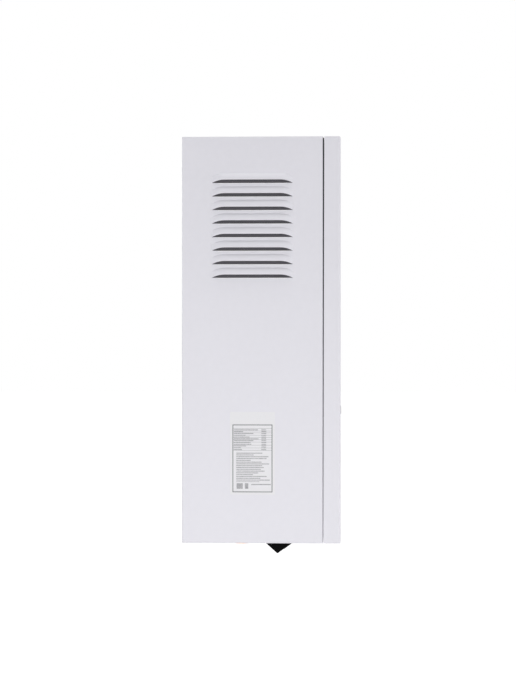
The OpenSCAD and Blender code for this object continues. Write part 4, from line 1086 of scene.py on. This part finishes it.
    def _cans(self) -> None:
        """Makes the capacitors: crimped sleeve and bare scored top."""
        x, z, r = self.can
        top = self.can_top
        sleeve = [(0.0, 0.0), (r - 0.4, 0.0), (r, 0.5), (r, 2.4), (r - 0.7, 3.0), (r, 3.6), (r, top),
                  (r - 0.5, top + 0.5), (r - 1.2, top + 0.5), (r - 1.2, top + 0.1), (0.0, top + 0.1)]
        cover = [(0.0, top), (r - 1.25, top), (r - 1.3, top + 0.35), (0.0, top + 0.35)]
        for name, finish, profile in (("capacitor_sleeves", CAN_BLACK, sleeve),
                                      ("capacitor_tops", SINK_ALUMINIUM, cover)):
            piece = Maker(name)
            for i in range(3):
                base = (self.left + x + self.can_pitch * i, self.front, self.low + z)
                piece.turned(profile, base, (0.0, -1.0, 0.0), 40)
            piece.keep(finish, "root", "board_parts")


@dataclass
class Loom:
    """The wires, each in its own insulation colour."""

    colours: tuple[Finish, ...] = (WIRE_BROWN, WIRE_BLACK, WIRE_GREY)
    merge: float = 0.0000005
    sharp: float = 50.0

    def build(self, node: Thing) -> None:
        """Copies the wires' mesh, merges it and gives each wire its colour.

        Args:
            node: the CAD node that holds all wires.
        """
        piece = Maker("wires")
        piece.mesh.from_mesh(node.data)
        bmesh.ops.remove_doubles(piece.mesh, verts=piece.mesh.verts, dist=self.merge)
        for number, island in enumerate(self._islands(piece.mesh)):
            for face in island:
                face.material_index = number % len(self.colours)
        bmesh.ops.scale(piece.mesh, vec=Vector((1.0 / MM,) * 3), verts=piece.mesh.verts)
        wires = piece.keep(self.colours[0], "root", node.name, slot="wire", angle=self.sharp)
        for finish in self.colours[1:]:
            wires.data.materials.append(finish.material())

    def _islands(self, mesh: bmesh.types.BMesh) -> list[Faces]:
        """Groups the faces that hang together.

        Args:
            mesh: the merged mesh.

        Returns:
            One list of faces for each wire, in a fixed order.
        """
        left, found = set(mesh.faces), []
        while left:
            todo = [left.pop()]
            island = list(todo)
            while todo:
                near = {f for e in todo.pop().edges for f in e.link_faces} & left
                left -= near
                todo.extend(near)
                island.extend(near)
            found.append(island)
        return sorted(found, key=self._corners)

    def _corners(self, island: Faces) -> Row:
        """Lowest and highest corner of a wire, which put the wires in the same order on every run."""
        points = [v.co for face in island for v in face.verts]
        return tuple(round(pick(p[axis] for p in points), 4) for pick in (min, max) for axis in range(3))


@dataclass
class LouverTrim:
    """Rolled lower lip of every slit, painted whiter than the casing as a painted highlight, and a dark sheet
    behind it as painted shade inside the slit, in millimetres.

    The mesh field holds the dark sheet of painted shade: its distances from the side, half its length, and its
    lower and upper edge from the slit.
    """

    side: float = 190.0
    middle: float = -102.35
    first: float = -22.3
    pitch: float = 19.65
    count: int = 8
    lip: float = 0.55
    lip_edge: float = 0.2
    reach: float = 50.0
    mesh: Row = (0.9, 1.5, 60.0, -1.0, 8.5)

    def build(self) -> None:
        """Makes the lips with their painted highlight and the dark sheets of painted shade behind the slits, on
        both sides.
        """
        near, far, half, low, high = self.mesh
        for name, sign in (("left", -1.0), ("right", 1.0)):
            lips, meshes = Maker(f"louver_lips_{name}"), Maker(f"painted_slot_shade_{name}")
            x, x0, x1 = sign * self.side, *sorted((sign * (self.side - near), sign * (self.side - far)))
            for z in (self.first - i * self.pitch for i in range(self.count)):
                # Bead on the slit's lower edge; its whiter finish is a painted highlight.
                lips.bar((x, self.middle - self.reach, z - self.lip), (x, self.middle + self.reach, z - self.lip),
                         self.lip, 16, self.lip_edge)
                # Dark sheet behind the slit: painted shade inside the louver.
                meshes.block((x0, self.middle - half, z + low), (x1, self.middle + half, z + high))
            lips.keep(LIP_PAINTED_HIGHLIGHT)
            meshes.keep(SLOT_SHADE_SHEET)


@dataclass
class Fittings:
    """Small metal and plastic fittings inside the casing, in millimetres.

    A package is its width, depth and height, a screw its radius, height and slot, and a blade its near end, its
    far end and half its width.
    """

    terminals: int = 6
    terminal_x: float = -47.333
    terminal_pitch: float = 15.333
    terminal_y: float = -204.0
    terminal_z: Pair = (-465.0, -439.0)
    terminal_screw: Point = (3.2, 2.4, 1.0)
    slot_deep: float = 0.7
    half_head: float = 0.75
    slot_steps: int = 14
    package: Point = (16.2, 6.5, 22.2)
    packages: Pair = (118.9, 144.9)
    package_y: float = -155.3
    package_z: float = -163.1
    tab_from: float = 0.68
    tab_hole: float = 0.85
    tab_screw: Point = (2.6, 1.9, 0.8)
    cutout: Point = (35.0, -162.0, -265.0)
    blade: Point = (15.8, 23.0, 3.15)

    def build(self) -> None:
        """Makes the terminal screws, the power semiconductors and the blades of the cut-out."""
        self._terminals()
        self._packages()
        self._blades()

    def _screw(self, piece: Maker, place: Point, head: Point) -> None:
        """Adds a slotted screw head that faces the front.

        Args:
            piece: the piece that takes it.
            place: middle of its underside.
            head: its radius, its height and the width of its slot.
        """
        (x, y, z), (radius, high, slot) = place, head
        piece.bar(place, (x, y - high + self.slot_deep, z), radius, 32)
        start = math.asin(slot / 2 / radius)
        for side in (0.0, math.pi):
            step = (math.pi - 2 * start) / self.slot_steps
            turn = [side + start + step * i for i in range(self.slot_steps + 1)]
            piece.prism([(x + radius * math.cos(a), y - high + self.half_head, z + radius * math.sin(a))
                         for a in turn], (0.0, -self.half_head, 0.0))

    def _terminals(self) -> None:
        """Makes one screw in every hole of the terminal block."""
        piece = Maker("terminal_screws")
        for x in (self.terminal_x + i * self.terminal_pitch for i in range(self.terminals)):
            for z in self.terminal_z:
                self._screw(piece, (x, self.terminal_y, z), self.terminal_screw)
        piece.keep(TERMINAL_METAL)

    def _packages(self) -> None:
        """Makes the two power semiconductors: black case, metal tab and its screw."""
        cases, tabs, screws = Maker("power_cases"), Maker("power_tabs"), Maker("power_screws")
        (w, d, h), y, z = self.package, self.package_y, self.package_z
        split = z + h * self.tab_from
        for x in self.packages:
            cases.block((x, y - d - 0.5, z), (x + w, y, split), 0.5)
            tabs.block((x, y - d, split - 0.2), (x + w, y, z + h), 0.3)
            self._screw(screws, (x + w / 2, y - d, z + h * self.tab_hole), self.tab_screw)
        cases.keep(PART_BLACK)
        tabs.keep(TERMINAL_METAL)
        screws.keep(ZINC_SCREW)

    def _blades(self) -> None:
        """Makes the two blades of the overheat cut-out."""
        piece = Maker("cutout_blades")
        (x, y, z), (near, far, half) = self.cutout, self.blade
        for x0, x1 in ((x - far, x - near), (x + near, x + far)):
            piece.block((x0, y - half, z - 0.4), (x1, y + half, z + 0.4), 0.15)
        piece.keep(TERMINAL_METAL)


@dataclass
class Studio:
    """Camera, lamps, floor and white surroundings, in metres. A lamp is its place, aim, side and watts."""

    eye: Point = (-2.690, -0.2155, -0.2500)
    yaw: float = 2.3
    film: float = 36.0
    lens: float = 90.3
    shift: Pair = (-0.0045, -0.006)
    sees: float = 100.0
    floor_z: float = -1.25
    floor_half: float = 30.0
    floor_glow: float = 0.7
    floor_tone: Colour = (0.8, 0.8, 0.8)
    around: float = 0.497

    LAMPS = {
        "wide_lamp": ((-2.4, -0.9, 1.7), (0.0, -0.1, -0.3), 2.0, 6.5),
        "top_lamp": ((-0.7, -0.1, 2.2), (-0.19, -0.1, -0.1), 1.0, 8.5),
        "low_lamp": ((-1.3, 0.0, -0.85), (0.0, -0.1, -0.6), 1.4, 6.8),
        "front_lamp": ((-0.25, -3.2, -0.5), (0.0, -0.1, -0.3), 2.0, 24.0),
        "back_lamp": ((-2.4, 1.7, 0.8), (0.0, -0.1, -0.1), 0.6, 4.0),
        "rear_right_lamp": ((1.9, 1.5, 0.5), (0.0, -0.1, -0.3), 1.6, 26.0),
    }

    def build(self) -> None:
        """Sets the camera, the lamps, the floor and the surroundings."""
        self._camera()
        self._lamps()
        self._floor()
        self._world()

    def _camera(self) -> None:
        """Places the camera level, looking along +X from the left side of the boiler."""
        data = bpy.data.cameras.new("camera")
        data.sensor_fit, data.sensor_height = "VERTICAL", self.film
        data.lens, data.clip_end = self.lens, self.sees
        data.shift_x, data.shift_y = self.shift
        eye = placed("camera", data)
        eye.location = self.eye
        eye.rotation_euler = (math.radians(90.0), 0.0, math.radians(self.yaw - 90.0))
        bpy.context.scene.camera = eye

    def _lamps(self) -> None:
        """Adds the soft square lamps."""
        for name, (place, aim, side, power) in self.LAMPS.items():
            data = bpy.data.lights.new(name, "AREA")
            data.size, data.energy = side, power
            lamp = placed(name, data)
            lamp.location = place
            lamp.rotation_euler = (Vector(aim) - Vector(place)).to_track_quat("-Z", "Y").to_euler()

    def _floor(self) -> None:
        """Lays a pale floor that keeps the soft shadow of the boiler and is seen as white from above."""
        mesh = bmesh.new()
        bmesh.ops.create_grid(mesh, x_segments=1, y_segments=1, size=self.floor_half,
                              matrix=Matrix.Translation((0.0, 0.0, self.floor_z)))
        floor = placed("floor", mesh)
        sheet = NodeSheet("pale_floor")
        glow = sheet.spread(sheet.sees_white(), 0.0, 1.0, 0.0, self.floor_glow)
        top = sheet.add("ShaderNodeAddShader", {
            0: sheet.add("ShaderNodeBsdfDiffuse", {"Color": self.floor_tone}).outputs[0],
            1: sheet.add("ShaderNodeEmission", {"Strength": glow}).outputs[0]})
        both = sheet.add("ShaderNodeMixShader", {
            0: sheet.add("ShaderNodeNewGeometry").outputs["Backfacing"], 1: top.outputs[0],
            2: sheet.add("ShaderNodeBsdfTransparent").outputs[0]})
        sheet.put(sheet.out, both.outputs[0])
        floor.data.materials.append(sheet.made)

    def _world(self) -> None:
        """Surrounds the boiler with even light, seen as white."""
        sheet = NodeSheet("surroundings", world=True)
        level = sheet.spread(sheet.sees_white(), 0.0, 1.0, self.around, 1.0)
        light = sheet.add("ShaderNodeBackground", {"Color": (1.0, 1.0, 1.0), "Strength": level})
        sheet.put(sheet.out, light.outputs[0])
        bpy.context.scene.world = sheet.made
        bpy.context.scene.view_settings.view_transform = "Standard"


def main() -> None:
    """Builds the sub-assemblies in order."""
    logging.basicConfig(level=logging.INFO)
    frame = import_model()
    Studio().build()
    Carried().dress(frame["nodes"])
    RatingPlate().build()
    PressureGauge().build()
    Controls().build(frame["nodes"])
    Rocker().dress(frame["nodes"]["main_switch"])
    Board().build()
    Loom().build(frame["nodes"]["wiring"])
    Fittings().build()
    LouverTrim().build()


if __name__ == "__main__":
    main()
